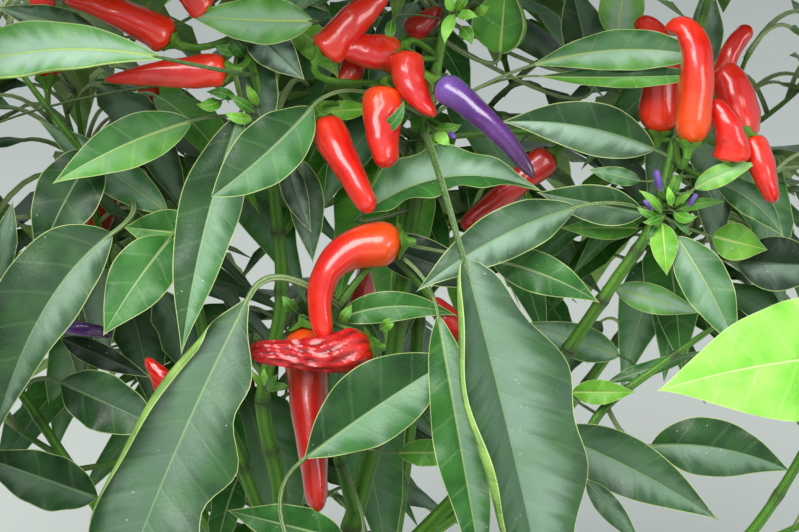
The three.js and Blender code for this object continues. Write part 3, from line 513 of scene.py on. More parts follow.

# %% [markdown]
# ## Room to grow
# A real plant spreads its leaves to where there is light and room. A simple way to copy this
# is to keep a list of points that stand for all that has grown, and to refuse a new leaf that
# comes too near to any of them. It also has to stay in the crown, behind the listed leaves and
# pods of the front, and out of the gaps of the front view.

# %% Room to grow
CROWN_MIDDLE = np.array([8.0, 6.0, 388.0])
CROWN_REACH = np.array([270.0, 246.0, 214.0])
VIEW_MARGIN = 12  # pixels round the image
VIEW_FRONT = -26  # what grows by the rule lies behind this nearness
VIEW_GAP_SHARE = 0.25  # of a leaf that may reach into a gap
VIEW_GAPS = np.array(  # column, row, radius
    [(50, 110, 42), (20, 180, 32), (150, 205, 26), (222, 215, 24), (255, 250, 20), (500, 75, 38),
     (560, 22, 22), (590, 176, 22), (610, 285, 32), (655, 350, 26), (755, 30, 40), (785, 120, 32),
     (740, 440, 40), (150, 470, 34), (40, 450, 40), (130, 315, 26), (222, 455, 20)], float)
ROOM_TO_OTHERS = 16.0
ROOM_TO_LIMB = 9.0
ROOM_IN_MASS = 8.0
ROOM_FOR_POD = 12.0
BROAD_HALF = 4.0  # a half this wide is marked at its edge too
LIMB_STEPS = np.linspace(0, 1, 41)

taken = dict(points=np.zeros((0, 3)), owner=np.zeros(0, int))
owners = list(LIMBS)
limb_points = np.vstack([smooth_at(limb["points"], LIMB_STEPS) for limb in LIMBS.values()])
limb_radius = np.concatenate([
    np.interp(LIMB_STEPS, [0, limb["share"]], limb["radii"]) for limb in LIMBS.values()])
limb_owner = np.repeat(np.arange(len(LIMBS)), len(LIMB_STEPS))
limb_bare = np.concatenate([LIMB_STEPS <= limb["share"] for limb in LIMBS.values()])


def take_room(name, marks):
    taken["points"] = np.vstack([taken["points"], marks])
    taken["owner"] = np.append(taken["owner"], np.full(len(marks), owners.index(name)))


def line_marks(curve, steps):
    return bent_at(curve, np.linspace(0, 1, steps + 1))


def leaf_marks(leaf):
    """Points over a leaf that stand for it when room is looked for."""
    along = np.linspace(0, 1, 7)
    middle = bent_at(leaf["midrib"], along)
    half = leaf["wide"] / 2 * blade_outline(along)
    broad = half >= BROAD_HALF
    spread = (blade_across(leaf, along) * half[:, None])[broad]
    stalk = bent_at(leaf["stalk"], [0.5, 0.75])
    return np.vstack([stalk, middle, middle[broad] + spread, middle[broad] - spread])


def pod_marks(pod):
    return line_marks(pod["midrib"], 4)


def spoils_view(marks):
    """True where something grown by the rule would hide the front or fill a gap."""
    column, row, near = place_in_view(marks)
    wide = (column > -VIEW_MARGIN) & (column < IMAGE_COLUMNS + VIEW_MARGIN)
    high = (row > -VIEW_MARGIN) & (row < IMAGE_ROWS + VIEW_MARGIN)
    if (wide & high & (near > VIEW_FRONT)).any():
        return True
    away = np.hypot(column[:, None] - VIEW_GAPS[:, 0], row[:, None] - VIEW_GAPS[:, 1])
    return (away < VIEW_GAPS[:, 2]).any(1).sum() > VIEW_GAP_SHARE * len(marks)


def distances(one, other):
    return np.linalg.norm(one[:, None] - other[None], axis=2)


def has_room(name, marks, room, to_others=ROOM_TO_OTHERS, to_limb=ROOM_TO_LIMB):
    if (np.abs((marks - CROWN_MIDDLE) / CROWN_REACH) ** 3).sum(1).max() > 1:
        return False
    owner = owners.index(name)
    margin = max(room, to_others)
    close = ((taken["points"] > marks.min(0) - margin) & (taken["points"] < marks.max(0) + margin)).all(1)
    needed = np.where(taken["owner"][close] == owner, room, to_others)
    if (distances(taken["points"][close], marks) <= needed[:, None]).any():
        return False
    counts = (limb_owner != owner) | limb_bare
    return (distances(limb_points[counts], marks) > limb_radius[counts, None] + to_limb).all()


print("places along limbs to keep clear of:", len(limb_points))

# %% [markdown]
# ## Growth by the rule
# Twigs fork from a shoot one golden angle apart, which is how many real plants turn, and carry
# a leaf at each joint. A leaf that finds no room turns round its joint and tries again. This
# pass is the one that the frame's solids were grown by, so its leaves lie where theirs lie.

# %% Growth
GOLDEN_ANGLE = math.radians(137.5)
FORK_LEAF_SWING = 2.4  # radians from a twig to the leaf at its fork
TRY_TURN = 0.9  # radians from one try to the next
TWIG_LENGTH = 50.0
TWIG_SIZES = (0.75, 0.5)
TWIG_RISE = 0.7  # radians
TWIG_ARCH = 0.1  # of its length
TWIG_STEPS = 6  # places on a twig that are looked at for room, the first two left out
LEAF_PLACES = [(0.3, 1.3), (0.5, -1.5), (0.7, 0.2), (0.86, 2.2), (0.98, -2)]  # along, angle
SMALL_LEAF_SCALES = (0.5, 0.72 - 0.5)
FINE_ROOM = dict(room=4.5, to_others=5.0, to_limb=4.0)


def small_leaf(joint, angle, random):
    return rule_leaf(joint, angle, random, dealt(random, SMALL_LEAF_SCALES))


KINDS = dict(  # how each kind is made, the points that stand for it, its room and its tries
    leaves=(rule_leaf, leaf_marks, dict(room=ROOM_IN_MASS), 16),
    pods=(rule_pod, pod_marks, dict(room=ROOM_FOR_POD), 16),
    small_leaves=(small_leaf, leaf_marks, FINE_ROOM, 10),
)


def grow_one(limb, kind, joint, angle):
    """Tries one leaf or pod at a joint at a few angles, and tells whether it found room."""
    make, marks_of, room, tries = KINDS[kind]
    for attempt in range(tries):
        item = make(joint, angle + attempt * TRY_TURN, limb["random"])
        marks = marks_of(item)
        if not spoils_view(marks) and has_room(limb["name"], marks, **room):
            take_room(limb["name"], marks)
            limb[kind].append(item)
            return True
    return False


def twig_curve(start, angle, length):
    end = start + rising(angle, TWIG_RISE) * length
    return np.array([start, (start + end) / 2 + level(angle) * TWIG_ARCH * length, end])


def grow_by_rule(limb):
    outward = smooth_at(limb["points"], 1) - CROWN_MIDDLE
    for index in range(limb["twigs"]):
        along = limb["starts"] + (1 - limb["starts"]) * (index + 1) / limb["twigs"]
        start = smooth_at(limb["points"], along)
        angle = math.atan2(outward[1], outward[0]) + index * GOLDEN_ANGLE
        grow_one(limb, "leaves", start, angle + FORK_LEAF_SWING)
        twig = twig_curve(start, angle, TWIG_LENGTH * dealt(limb["random"], TWIG_SIZES))
        marks = line_marks(twig, TWIG_STEPS)[2:]
        if not has_room(limb["name"], marks, ROOM_IN_MASS):
            continue
        take_room(limb["name"], marks)
        used = [0.0] + [place for place, swing in LEAF_PLACES
                        if grow_one(limb, "leaves", bent_at(twig, place), angle + swing)]
        if index % 2 == 0 and grow_one(limb, "pods", twig[2], angle):
            used.append(1.0)
        limb["grown_twigs"].append(dict(curve=twig, used=used))


def count(kind):
    return sum(len(limb[kind]) for limb in LIMBS.values())


for name, limb in LIMBS.items():
    limb["leaves"] = [shown_leaf(row, limb) for row in SHOWN_LEAVES.get(name, [])]
    limb["pods"] = [shown_pod(row, limb) for row in SHOWN_PODS.get(name, [])]
    limb.update(grown_twigs=[], fine_twigs=[], small_leaves=[])
    for marks in [*map(leaf_marks, limb["leaves"]), *map(pod_marks, limb["pods"])]:
        take_room(name, marks)
for limb in LIMBS.values():
    grow_by_rule(limb)
print("first pass: leaves", count("leaves"), "pods", count("pods"))

# %% [markdown]
# ## Finer growth
# The solids can only have a few hundred leaves, and a real crown of this size has more. A second
# pass adds fine twigs with small leaves along every shoot and twig, in the room that is left. It
# keeps within the same reach, and asks for less room, because small leaves may lie close.

# %% Finer growth
FINE_TWIG_LENGTH = 24.0
FINE_TWIG_SIZES = (0.7, 0.6)
FINE_TWIG_STEPS = 4
FINE_JOINTS = 3  # along a shoot, for each of its twigs
FINE_LEAF_SWING = 2.0  # radians from a fine twig to the leaf at its fork
FINE_PLACES = [(0.45, 1.2), (0.75, -1.3), (1.0, 0.1)]  # along a fine twig, angle


def grow_finer(limb):
    """Fine twigs along the shoot and the twigs of a limb."""
    steps = np.linspace(limb["starts"], 1, FINE_JOINTS * limb["twigs"] + 1)[1:]
    joints = [(smooth_at(limb["points"], along), index * GOLDEN_ANGLE, 0.0, [])
              for index, along in enumerate(steps)]
    for grown in limb["grown_twigs"]:
        twig, used = grown["curve"], grown["used"]
        way = twig[2] - twig[0]
        angle = math.atan2(way[1], way[0])
        joints += [(bent_at(twig, place), angle + swing, place, used) for place, swing in LEAF_PLACES]
        joints.append((twig[2], angle, 1.0, used))
    for joint, angle, place, used in joints:
        if grow_one(limb, "small_leaves", joint, angle + FINE_LEAF_SWING):
            used.append(place)
        twig = twig_curve(joint, angle, FINE_TWIG_LENGTH * dealt(limb["random"], FINE_TWIG_SIZES))
        marks = line_marks(twig, FINE_TWIG_STEPS)[2:]
        if spoils_view(marks) or not has_room(limb["name"], marks, **FINE_ROOM):
            continue
        take_room(limb["name"], marks)
        fine_used = [at for at, swing in FINE_PLACES
                     if grow_one(limb, "small_leaves", bent_at(twig, at), angle + swing)]
        if fine_used:
            used.append(place)
            limb["fine_twigs"].append(dict(curve=twig, used=fine_used))


for limb in LIMBS.values():
    grow_finer(limb)
print("second pass: fine twigs", count("fine_twigs"), "small leaves", count("small_leaves"))

# %% [markdown]
# ## Finer shapes for the front
# The solids keep to simple bows, and some leaves and pods of the real plant are hooked or drawn
# out at the base. Now that everything has found its room, those few get the line they are
# drawn with. The two differ by a few millimetres, and by more where they lie out of the image.

# %% Finer shapes for the front
redrawn = 0
for limb in LIMBS.values():
    for items, make in ((limb["leaves"], shown_leaf), (limb["pods"], shown_pod)):
        for index, item in enumerate(items):
            if "drawn" in item:
                items[index] = make(item["row"] | item["drawn"], limb)
                redrawn += 1
print("drawn with a finer line:", redrawn)

# %% [markdown]
# ## Young leaves and buds
# At the joints of a pepper plant sit tufts of small lime leaves and violet buds. They are too
# small to need room of their own, so they are listed one by one like the leaves of the front,
# once the rest has grown.

# %% Young leaves and buds
BUD_TAPER = (0.2, 2)
YOUNG_LEAVES = {  # base, tip, width and bow, then the look
    "right": [
        [(667, 200, 14), (659, 172, 18), 9, 2, "bright"], [(668, 204, 14), (675, 172, 18), 9, -1, "lime"],
        [(672, 204, 16), (684, 170, 20), 8, 2, "bright"], [(672, 206, 18), (668, 186, 24), 9, 0, "young"],
        [(662, 214, 16), (638, 190, 22), 9, -3, "lime"], [(660, 218, 18), (636, 206, 24), 8, 2, "bright"],
        [(664, 216, 18), (642, 222, 26), 9, 2, "bright"],
        [(674, 212, 18), (698, 216, 26), 12, -4, "bright"],
        [(676, 206, 18), (695, 190, 22), 8, 2, "lime"], [(678, 210, 16), (726, 202, 22), 11, 3, "bright"],
        [(676, 216, 16), (690, 236, 22), 9, 0, "mid"], [(658, 222, 16), (646, 240, 22), 8, 0, "mid"]],
    "centre": [
        [(455, 14, 30), (445, 44, 36), 13, -3, "young"], [(457, 16, 30), (478, 17, 36), 11, 2, "young"],
        [(456, 12, 28), (472, -6, 34), 11, 2, "lime"], [(453, 12, 28), (446, -8, 32), 11, 0, "young"],
        [(460, 26, 26), (472, 45, 32), 14, 2, "bright"], [(474, 14, 24), (490, 6, 28), 10, 0, "lime"],
        [(436, 132, 26), (450, 146, 32), 13, 0, "young"],
        [(434, 128, 24), (462, 124, 30), 13, -3, "bright"],
        [(432, 134, 24), (428, 152, 30), 10, 0, "lime"], [(380, 132, 42), (404, 100, 48), 13, -5, "mid"],
        [(392, 20, 26), (388, 44, 30), 11, 0, "bright"], [(414, 92, 24), (402, 110, 32), 8, 0, "lime"]],
    "left": [
        [(-8, 125, 10), (-70, 150, 20), 30, 0, "mid"], [(252, 118, 28), (224, 112, 34), 12, 3, "young"],
        [(254, 112, 28), (228, 94, 34), 11, 0, "bright"],
        [(258, 106, 26), (246, 84, 32), 10, 0, "lime"], [(246, 58, 24), (226, 34, 30), 12, 0, "mid"],
        [(240, 52, 24), (212, 44, 30), 11, 2, "bright"], [(236, 98, 28), (206, 92, 34), 12, -2, "bright"],
        [(222, 100, 26), (196, 104, 32), 14, 3, "lime"], [(262, 132, 24), (230, 142, 30), 12, 0, "mid"]],
    "middle": [
        [(262, 386, 16), (252, 372, 24), 8, 0, "lime"], [(264, 386, 16), (264, 368, 24), 8, 0, "young"],
        [(266, 388, 16), (278, 374, 24), 8, 0, "bright"], [(266, 390, 16), (290, 386, 22), 9, 2, "bright"],
        [(340, 324, 30), (352, 304, 34), 11, 0, "bright"], [(380, 330, 26), (396, 318, 32), 12, 0, "lime"],
        [(296, 312, 22), (282, 296, 28), 12, 0, "bright"]],
}
BUDS = {  # base, tip, width and bow
    "right": [[(661, 190, 18), (656, 170, 24), 8, 0], [(688, 206, 18), (697, 194, 24), 6, 0],
              [(652, 210, 18), (644, 200, 24), 5, 0]],
    "centre": [[(446, 130, 26), (456, 138, 32), 6, 0]],
    "left": [[(248, 104, 28), (238, 100, 34), 6, 0]],
}
for name, limb in LIMBS.items():
    for *line, tint in YOUNG_LEAVES.get(name, []):
        limb["small_leaves"].append(shown_leaf(row(*line, tint + "_0"), limb))
    for line in BUDS.get(name, []):
        limb["pods"].append(shown_pod(row(*line, "bud", taper=BUD_TAPER), limb))
print("young leaves:", sum(map(len, YOUNG_LEAVES.values())), "buds:", sum(map(len, BUDS.values())))

# %% [markdown]
# ## Joining many small shapes
# A crown has hundreds of leaves, and one object for each would be slow and hard to handle.
# So blades, stalks and pods are first worked out as arrays of points and faces, and those of one
# kind and one mass are gathered into a single mesh. Numbers that belong to points, such as how
# far one lies from a blade's rim, go along as attributes, which materials can read.

# %% Joined meshes
SHARP_ANGLE = math.radians(50)


class Joined:
    """Small closed shapes gathered into one mesh."""

    def __init__(self, name):
        self.name = name
        self.count = 0
        self.parts = []

    def add(self, points, faces, slots, marks):
        """Faces have four corners, the last of them -1 in a triangle."""
        moved = np.where(faces >= 0, faces + self.count, -1)
        slots = np.broadcast_to(slots, len(faces))
        self.parts.append(dict(points=points, faces=moved, slots=slots, marks=marks))
        self.count += len(points)

    def gathered(self, kind):
        return np.concatenate([part[kind] for part in self.parts])

    def finish(self, materials, replaced, slot):
        if not self.parts:
            return
        mesh = bpy.data.meshes.new(self.name)
        faces = [face[:3] if face[3] < 0 else face for face in self.gathered("faces").tolist()]
        mesh.from_pydata(self.gathered("points") * MM, [], faces)
        mesh.polygons.foreach_set("material_index", self.gathered("slots"))
        for mark in self.parts[0]["marks"]:
            values = np.concatenate([part["marks"][mark] for part in self.parts])
            if values.ndim == 2:
                corners = np.zeros(len(mesh.loops), int)
                mesh.loops.foreach_get("vertex_index", corners)
                mesh.uv_layers.new(name=mark).data.foreach_set("uv", values[corners].ravel())
            else:
                mesh.attributes.new(mark, "FLOAT", "POINT").data.foreach_set("value", values)
        placed(mesh, materials, replaced, SHARP_ANGLE)


def placed(mesh, materials, replaced, sharp):
    """Puts a finished mesh in the scene as a piece of the plant."""
    for material in materials:
        mesh.materials.append(material)
    mesh.shade_smooth()
    mesh.set_sharp_from_angle(angle=sharp)
    piece = bpy.data.objects.new(mesh.name, mesh)
    bpy.context.collection.objects.link(piece)
    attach(piece, "root")
    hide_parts(replaced)


def carried(way, start=None):
    """Sideways directions along a line of ways, each turned as little as can be from the last."""
    if start is None:
        start = np.array([0.0, 1.0, 0.0]) if abs(way[0][1]) < 0.7 else np.array([1.0, 0.0, 0.0])
    sides = []
    for ahead in way:
        start = start - ahead * (start @ ahead)
        start = start / np.linalg.norm(start)
        sides.append(start)
    return np.array(sides)


def angles_round(sides):
    return np.arange(sides) * 2 * math.pi / sides


def ring_faces(rings, sides):
    """Faces of a closed tube: rings of points, then one point at the start and one at the end."""
    ring, side = np.meshgrid(np.arange(rings - 1), np.arange(sides), indexing="ij")
    here, after = ring * sides + side, ring * sides + (side + 1) % sides
    walls = np.stack([here, after, after + sides, here + sides], -1).reshape(-1, 4)
    side = np.arange(sides)
    after = (side + 1) % sides
    none = np.full(sides, -1)
    last = (rings - 1) * sides
    start = np.stack([np.full(sides, rings * sides), after, side, none], -1)
    end = np.stack([np.full(sides, rings * sides + 1), last + side, last + after, none], -1)
    return np.vstack([walls, start, end])


def rings_round(middle, way, across, radii, sides, relief):
    """Rings of points round a line, closed by its two ends."""
    angle = angles_round(sides)
    upright = np.cross(way, across)
    radii = (np.broadcast_to(radii, len(middle))[:, None] * relief)[..., None]
    spokes = across[:, None] * np.cos(angle)[:, None] + upright[:, None] * np.sin(angle)[:, None]
    rings = middle[:, None] + radii * spokes
    return np.vstack([rings.reshape(-1, 3), middle[:1], middle[-1:]])


print("faces of a tube with 9 rings of 6:", len(ring_faces(9, 6)))

# %% [markdown]
# ## Blades
# A pepper leaf is a thin blade, folded a little along its midrib, arched across each half and
# wavy along its rim. Each row of points across it is rolled out from the rib, step by step,
# with a lean that changes on the way, so one rule gives flat leaves as well as rolled
# edges. The under side lies a fraction of a millimetre behind, and both meet in a thin rim.

# %% Blades
BLADE_THICK = 0.45
RIM_WIDTH = 0.45
RIB_WIDTH = 0.95
FULL_MARKS_WIDTH = 16.0  # narrower blades have a narrower rib and rim
MAP_SPAN = 100.0  # millimetres of a blade to one unit of its map
BLADE_POINTS = (0.85, 1.3)  # how drawn out the base and the tip are
FOLDS = (0.2, 0.16)  # radians: least, and what chance may add
CUPS = (0.4, 1.8)  # how much of the fold a half gives up towards its rim
WAVE_HEIGHT = 0.022  # of the blade's length
WAVE_SIZES = (0.6, 1.0)
WAVE_COUNTS = (2.5, 2.0)
ROLL_START = 0.55
ROLL_POWER = 1.5
ROLL_SPREAD = 0.1  # share of the length over which a roll begins
EVEN_EDGE = (0.0, 1.0, None)  # how far an edge sways, how often, and where its first wave begins
BLADE_GRIDS = {  # rows from base to tip, and columns of one half from rib to rim
    "shown": (np.linspace(0, 1, 38)[1:-1],
              np.array([0, 0.05, 0.17, 0.32, 0.48, 0.6, 0.7, 0.79, 0.87, 0.94, 1.0])),
    "young": (np.linspace(0, 1, 14)[1:-1], np.array([0, 0.3, 0.6, 0.85, 1.0])),
    "rule": (np.linspace(0, 1, 9)[1:-1], np.array([0, 0.5, 1.0])),
}


def blade_faces(rows, columns):
    """Faces of a blade, and where each lies: 0 and 1 on the upper halves, 2 on the under side."""
    inner = columns - 2

    def upper(row, column):
        return row * columns + column

    def under(row, column):
        inside = rows * columns + row * inner + column - 1
        return np.where((column == 0) | (column == columns - 1), upper(row, column), inside)

    base, tip = rows * (columns + inner), rows * (columns + inner) + 1
    row, column = (grid.ravel() for grid in np.mgrid[0:rows - 1, 0:columns - 1])
    ends = np.arange(columns - 1)
    none = np.full(columns - 1, -1)
    first, last = 0 * ends, 0 * ends + rows - 1
    sheets = []
    for at in (upper, under):
        corners = at(row, column), at(row + 1, column), at(row + 1, column + 1), at(row, column + 1)
        start = np.stack([first + base, at(first, ends), at(first, ends + 1), none], -1)
        end = np.stack([at(last, ends), first + tip, at(last, ends + 1), none], -1)
        sheets.append(np.vstack([np.stack(corners, -1), start, end]))
    above, below = sheets
    four = below[:, 3:] >= 0
    below = np.where(four, below[:, [0, 3, 2, 1]], below[:, [2, 1, 0, 3]])
    half = (np.concatenate([column, ends, ends]) >= (columns - 1) // 2).astype(int)
    return np.vstack([above, below]), np.append(half, np.full(len(below), 2))


BLADE_SHEETS = {kind: blade_faces(len(rows), 2 * len(columns) - 1)
                for kind, (rows, columns) in BLADE_GRIDS.items()}


def true_outline(along, at_base, at_tip):
    """Half width along a blade with a drawn-out base and tip, as a share of the widest half."""
    widest = at_base / (at_base + at_tip)
    return (along / widest) ** at_base * ((1 - along) / (1 - widest)) ** at_tip


def all_points(upper, under, ends):
    """Values of a blade's upper side, its under side and the two ends of its rib in one row."""
    shape = (-1, *upper.shape[2:])
    return np.concatenate([upper.reshape(shape), under.reshape(shape), ends])


def blade_mesh(leaf, rows, columns, chance):
    """Points of one blade and the marks that its materials read."""
    midrib = leaf["midrib"]
    ahead = bent_way(midrib, rows)
    across = blade_across(leaf, rows)
    out = np.cross(ahead, across)
    middle = bent_at(midrib, rows)
    length = np.linalg.norm(np.diff(bent_at(midrib, np.linspace(0, 1, 9)), axis=0), axis=1).sum()
    half = leaf["wide"] / 2 * true_outline(rows, *leaf.get("points", BLADE_POINTS))
    fold = leaf.get("fold", dealt(chance.random, FOLDS))
    wave = WAVE_HEIGHT * length * dealt(chance.random, WAVE_SIZES)
    waves = dealt(chance.random, WAVE_COUNTS)
    cup = leaf.get("cup", dealt(chance.random, CUPS))
    roll_start = leaf.get("roll_start", ROLL_START)
    unrolled = np.clip((rows - leaf.get("roll_from", -1)) / ROLL_SPREAD, 0, 1)
    unrolled = (unrolled * (1 - leaf.get("unroll", 0.0) * rows))[:, None]
    steps = np.diff(columns)
    middles = columns[:-1] + steps / 2
    rolled = np.clip((middles - roll_start) / (1 - roll_start), 0, 1) ** ROLL_POWER
    shares, rolls = leaf.get("shares", (1, 1)), leaf.get("roll", (0, 0))
    sways = leaf.get("sway", (EVEN_EDGE, EVEN_EDGE))
    halves = []
    for side, share, roll, sway, begin in zip((-1, 1), shares, rolls, sways, chance.random((2, 2))):
        lean = fold * (1 - cup * middles) + roll * unrolled * rolled
        away = np.pad(np.cumsum(np.cos(lean) * steps, 1), ((0, 0), (1, 0)))
        lift = np.pad(np.cumsum(np.sin(lean) * steps, 1), ((0, 0), (1, 0)))
        phase = 2 * math.pi * (waves * rows + begin[0])
        ripple = wave * np.sin(phase)[:, None] * columns**2 * (half / half.max())[:, None]
        swing, times_over, first = sway
        first = begin[1] if first is None else first
        swayed = 1 + swing * np.sin(2 * math.pi * (times_over * rows + first))
        reach = share * (half * swayed)[:, None]
        points = (middle[:, None] + across[:, None] * (side * reach * away)[..., None]
                  + out[:, None] * (reach * lift + ripple)[..., None])
        slope = np.hstack([lean[:, :1] * 0, (lean[:, 1:] + lean[:, :-1]) / 2, lean[:, -1:]])
        normal = (out[:, None] * np.cos(slope)[..., None]
                  - across[:, None] * (side * np.sin(slope))[..., None])
        far = reach * columns
        halves.append((points, normal, side * far, reach - far))
    points, normal, far, from_rim = (
        np.concatenate([one[:, ::-1], other[:, 1:]], 1) for one, other in zip(*halves))
    under = (points - normal * BLADE_THICK)[:, 1:-1]
    place = np.stack([np.broadcast_to((rows * length)[:, None], far.shape), far], -1) / MAP_SPAN + 1
    slim = min(1.0, leaf["wide"] / FULL_MARKS_WIDTH)
    rib_widths = (RIB_WIDTH * slim * (1.15 - rows))[:, None]
    outward = np.broadcast_to(np.concatenate([columns[::-1], columns[1:]]), far.shape)
    marks = dict(  # values at each point, then at the base and the tip
        blade=(place, [[1, 1], [length / MAP_SPAN + 1, 1]]),
        rim=(from_rim / (RIM_WIDTH * slim), [1, 1]),
        rib=(np.abs(far) / rib_widths, [0, 0]),
        outward=(outward, [0, 0]),
    )
    marks = {mark: all_points(values, values[:, 1:-1], ends) for mark, (values, ends) in marks.items()}
    return all_points(points, under, bent_at(midrib, [0, 1])), marks


print("faces of a blade:", {kind: len(faces) for kind, (faces, _) in BLADE_SHEETS.items()})

# %% [markdown]
# ## Shader helpers
# A material is a graph of nodes. Written out in full, each node takes several lines, so one
# helper adds a node, sets its options and fills or links its inputs. Colours are given as
# they look on a screen, from 0 to 255, and turned into the linear values that shaders need.

# %% Shader helpers


def colour(red, green, blue):
    """A screen colour as a linear one."""
    parts = [v / 255 / 12.92 if v < 11 else ((v / 255 + 0.055) / 1.055) ** 2.4 for v in (red, green, blue)]
    return (*parts, 1.0)


def fill(tree, made, *inputs):
    """Links or sets a node's inputs, given as (socket, output or value)."""
    for socket, value in inputs:
        if isinstance(value, bpy.types.NodeSocket):
            tree.links.new(value, made.inputs[socket])
        else:
            made.inputs[socket].default_value = value


def node(tree, kind, *inputs, **settings):
    """Adds a node. Inputs are (socket, output or value); settings are its own options."""
    made = tree.nodes.new("ShaderNode" + kind)
    for option, value in settings.items():
        setattr(made, option, value)
    fill(tree, made, *inputs)
    return made


def sum_of(tree, operation, *values):
    """The output of a Math node."""
    return node(tree, "Math", *enumerate(values), operation=operation).outputs[0]


def times(tree, value, factor):
    return sum_of(tree, "MULTIPLY", value, factor)


def times_plus(tree, value, factor, added):
    return sum_of(tree, "MULTIPLY_ADD", value, factor, added)


def fade(tree, value, start, end):
    """1 where value is under start, 0 where it is over end, and smooth between."""
    made = node(tree, "MapRange", ("Value", value), ("From Min", start), ("From Max", end),
                ("To Min", 1.0), ("To Max", 0.0), interpolation_type="SMOOTHSTEP")
    return made.outputs[0]


def blend(tree, share, low, high):
    """A colour between two, by a share or a mask."""
    made = node(tree, "Mix", (0, share), (6, low), (7, high), data_type="RGBA")
    return made.outputs[2]


def noise_of(tree, place, scale, detail):
    return node(tree, "TexNoise", ("Vector", place), ("Scale", scale), ("Detail", detail)).outputs[0]


def read_mark(tree, mark):
    """A number that the mesh keeps at each point."""
    return node(tree, "Attribute", attribute_name=mark).outputs["Fac"]


def new_group(name, inputs, outputs):
    """A node group whose sockets all hold numbers; inputs are given with their first values."""
    group = bpy.data.node_groups.new(name, "ShaderNodeTree")
    for socket, value in inputs.items():
        made = group.interface.new_socket(socket, in_out="INPUT", socket_type="NodeSocketFloat")
        made.default_value = value
    for socket in outputs:
        group.interface.new_socket(socket, in_out="OUTPUT", socket_type="NodeSocketFloat")
    start = group.nodes.new("NodeGroupInput").outputs
    return group, start, group.nodes.new("NodeGroupOutput")


def new_material(name, preview):
    """A material with a Principled shader, which the caller fills in."""
    material = bpy.data.materials.new(name)
    material.use_nodes = True
    material.diffuse_color = preview
    tree = material.node_tree
    return material, tree, tree.nodes["Principled BSDF"]


def use_group(tree, group, *inputs):
    return node(tree, "Group", *inputs, node_tree=group).outputs


def relief_of(tree, height, strength, depth):
    """Normals of small relief, which is too fine for the mesh."""
    bump = node(tree, "Bump", ("Height", height), ("Strength", strength), ("Distance", depth))
    return bump.outputs[0]


print("mid grey as a linear colour:", colour(128, 128, 128)[:3])

# %% [markdown]
# ## Patches and flecks
# Nothing that grows has one even colour. Leaves, stems and pods all show soft patches as wide
# as a fingernail and flecks as small as a grain of salt, and a few pale specks stand for dust,
# and for dew as painted glints. All come from noise in the object's own coordinates, in one group
# that every material of the plant uses at its own scale.

# %% Patches and flecks
SPECKS_PER_METRE = 190.0
SPECK_SHARE = 0.55  # of the cells that hold a speck
SPECK_EDGE = (0.03, 0.07)  # of a cell: where a speck begins to fade and where it ends
growth_marks, group_in, group_end = new_group(
    "growth_marks", {"Patch size": 0.02, "Fleck size": 0.002}, ["Patch", "Fleck", "Speck"])
place = node(growth_marks, "TexCoord").outputs["Object"]
for mask, detail in (("Patch", 3.0), ("Fleck", 1.0)):
    scale = sum_of(growth_marks, "DIVIDE", 1.0, group_in[mask + " size"])
    low = fade(growth_marks, noise_of(growth_marks, place, scale, detail), 0.35, 0.65)
    fill(growth_marks, group_end, (mask, sum_of(growth_marks, "SUBTRACT", 1.0, low)))
cells = node(growth_marks, "TexVoronoi", ("Vector", place), ("Scale", SPECKS_PER_METRE)).outputs
lot = node(growth_marks, "SeparateXYZ", (0, cells["Color"])).outputs[0]
chosen = sum_of(growth_marks, "GREATER_THAN", lot, 1 - SPECK_SHARE)
speck = fade(growth_marks, cells["Distance"], *SPECK_EDGE)
fill(growth_marks, group_end, ("Speck", times(growth_marks, speck, chosen)))
print("group:", growth_marks.name)

# %% [markdown]
# ## Marks on a blade
# A pepper leaf has a pale rib, side veins that leave it forwards at a slant and a thin pale rim.
# These follow the blade, so they are drawn from its own map and from attributes that tell how
# far a point lies from rib and rim. Repeating the slant distance gives the veins.

# %% Marks on a blade
VEIN_SPACING = 0.07  # in units of the map, half the way from one side vein to the next
VEIN_SLANT = 0.62  # how far a side vein runs forwards for each step outwards
VEIN_STIR = 0.018  # how far chance moves a vein
NET_CELLS = 42.0  # small cells between the veins, to one unit of the map
SHEEN_EDGE = 0.45  # where the painted sheen fades out, as a share from rib to rim
RELIEF = dict(gap=6.0, net=-0.07, vein=-0.1, rib=-0.4)
blade_marks, group_in, group_end = new_group(
    "blade_marks", {"Vein width": 0.012}, ["Rib", "Rim", "Vein", "Sheen band", "Height"])
place = node(blade_marks, "UVMap", uv_map="blade").outputs[0]
parts = node(blade_marks, "SeparateXYZ", (0, place)).outputs
sideways = sum_of(blade_marks, "ABSOLUTE", sum_of(blade_marks, "SUBTRACT", parts[1], 1.0))
stir = noise_of(blade_marks, place, 9.0, 1.0)
slant = sum_of(blade_marks, "SUBTRACT", parts[0], times(blade_marks, sideways, VEIN_SLANT))
slant = times_plus(blade_marks, stir, VEIN_STIR, slant)
gap = sum_of(blade_marks, "PINGPONG", slant, VEIN_SPACING)
vein = fade(blade_marks, gap, 0.0, group_in["Vein width"])
net = node(blade_marks, "TexVoronoi", ("Vector", place), ("Scale", NET_CELLS), feature="DISTANCE_TO_EDGE")
net = fade(blade_marks, net.outputs[0], 0.0, 0.16)
from_rib, from_rim, outward = (read_mark(blade_marks, mark) for mark in ("rib", "rim", "outward"))
rib = fade(blade_marks, from_rib, 0.35, 1.0)
rim = fade(blade_marks, from_rim, 0.5, 1.0)
# Painted sheen: a band along the rib, broken into streaks that run with the veins, that fades out towards
# the rim where an arched half stops reflecting the sky.
streak = node(blade_marks, "CombineXYZ", (0, slant), (1, times(blade_marks, sideways, 0.2))).outputs[0]
streak = noise_of(blade_marks, streak, 16.0, 2.0)
streak = times_plus(blade_marks, streak, 0.9, sum_of(blade_marks, "SUBTRACT", outward, SHEEN_EDGE))
inner = fade(blade_marks, streak, 0.25, 0.85)
height = times(blade_marks, gap, RELIEF["gap"])
for mask, value in (("net", net), ("vein", vein), ("rib", rib)):
    height = times_plus(blade_marks, value, RELIEF[mask], height)
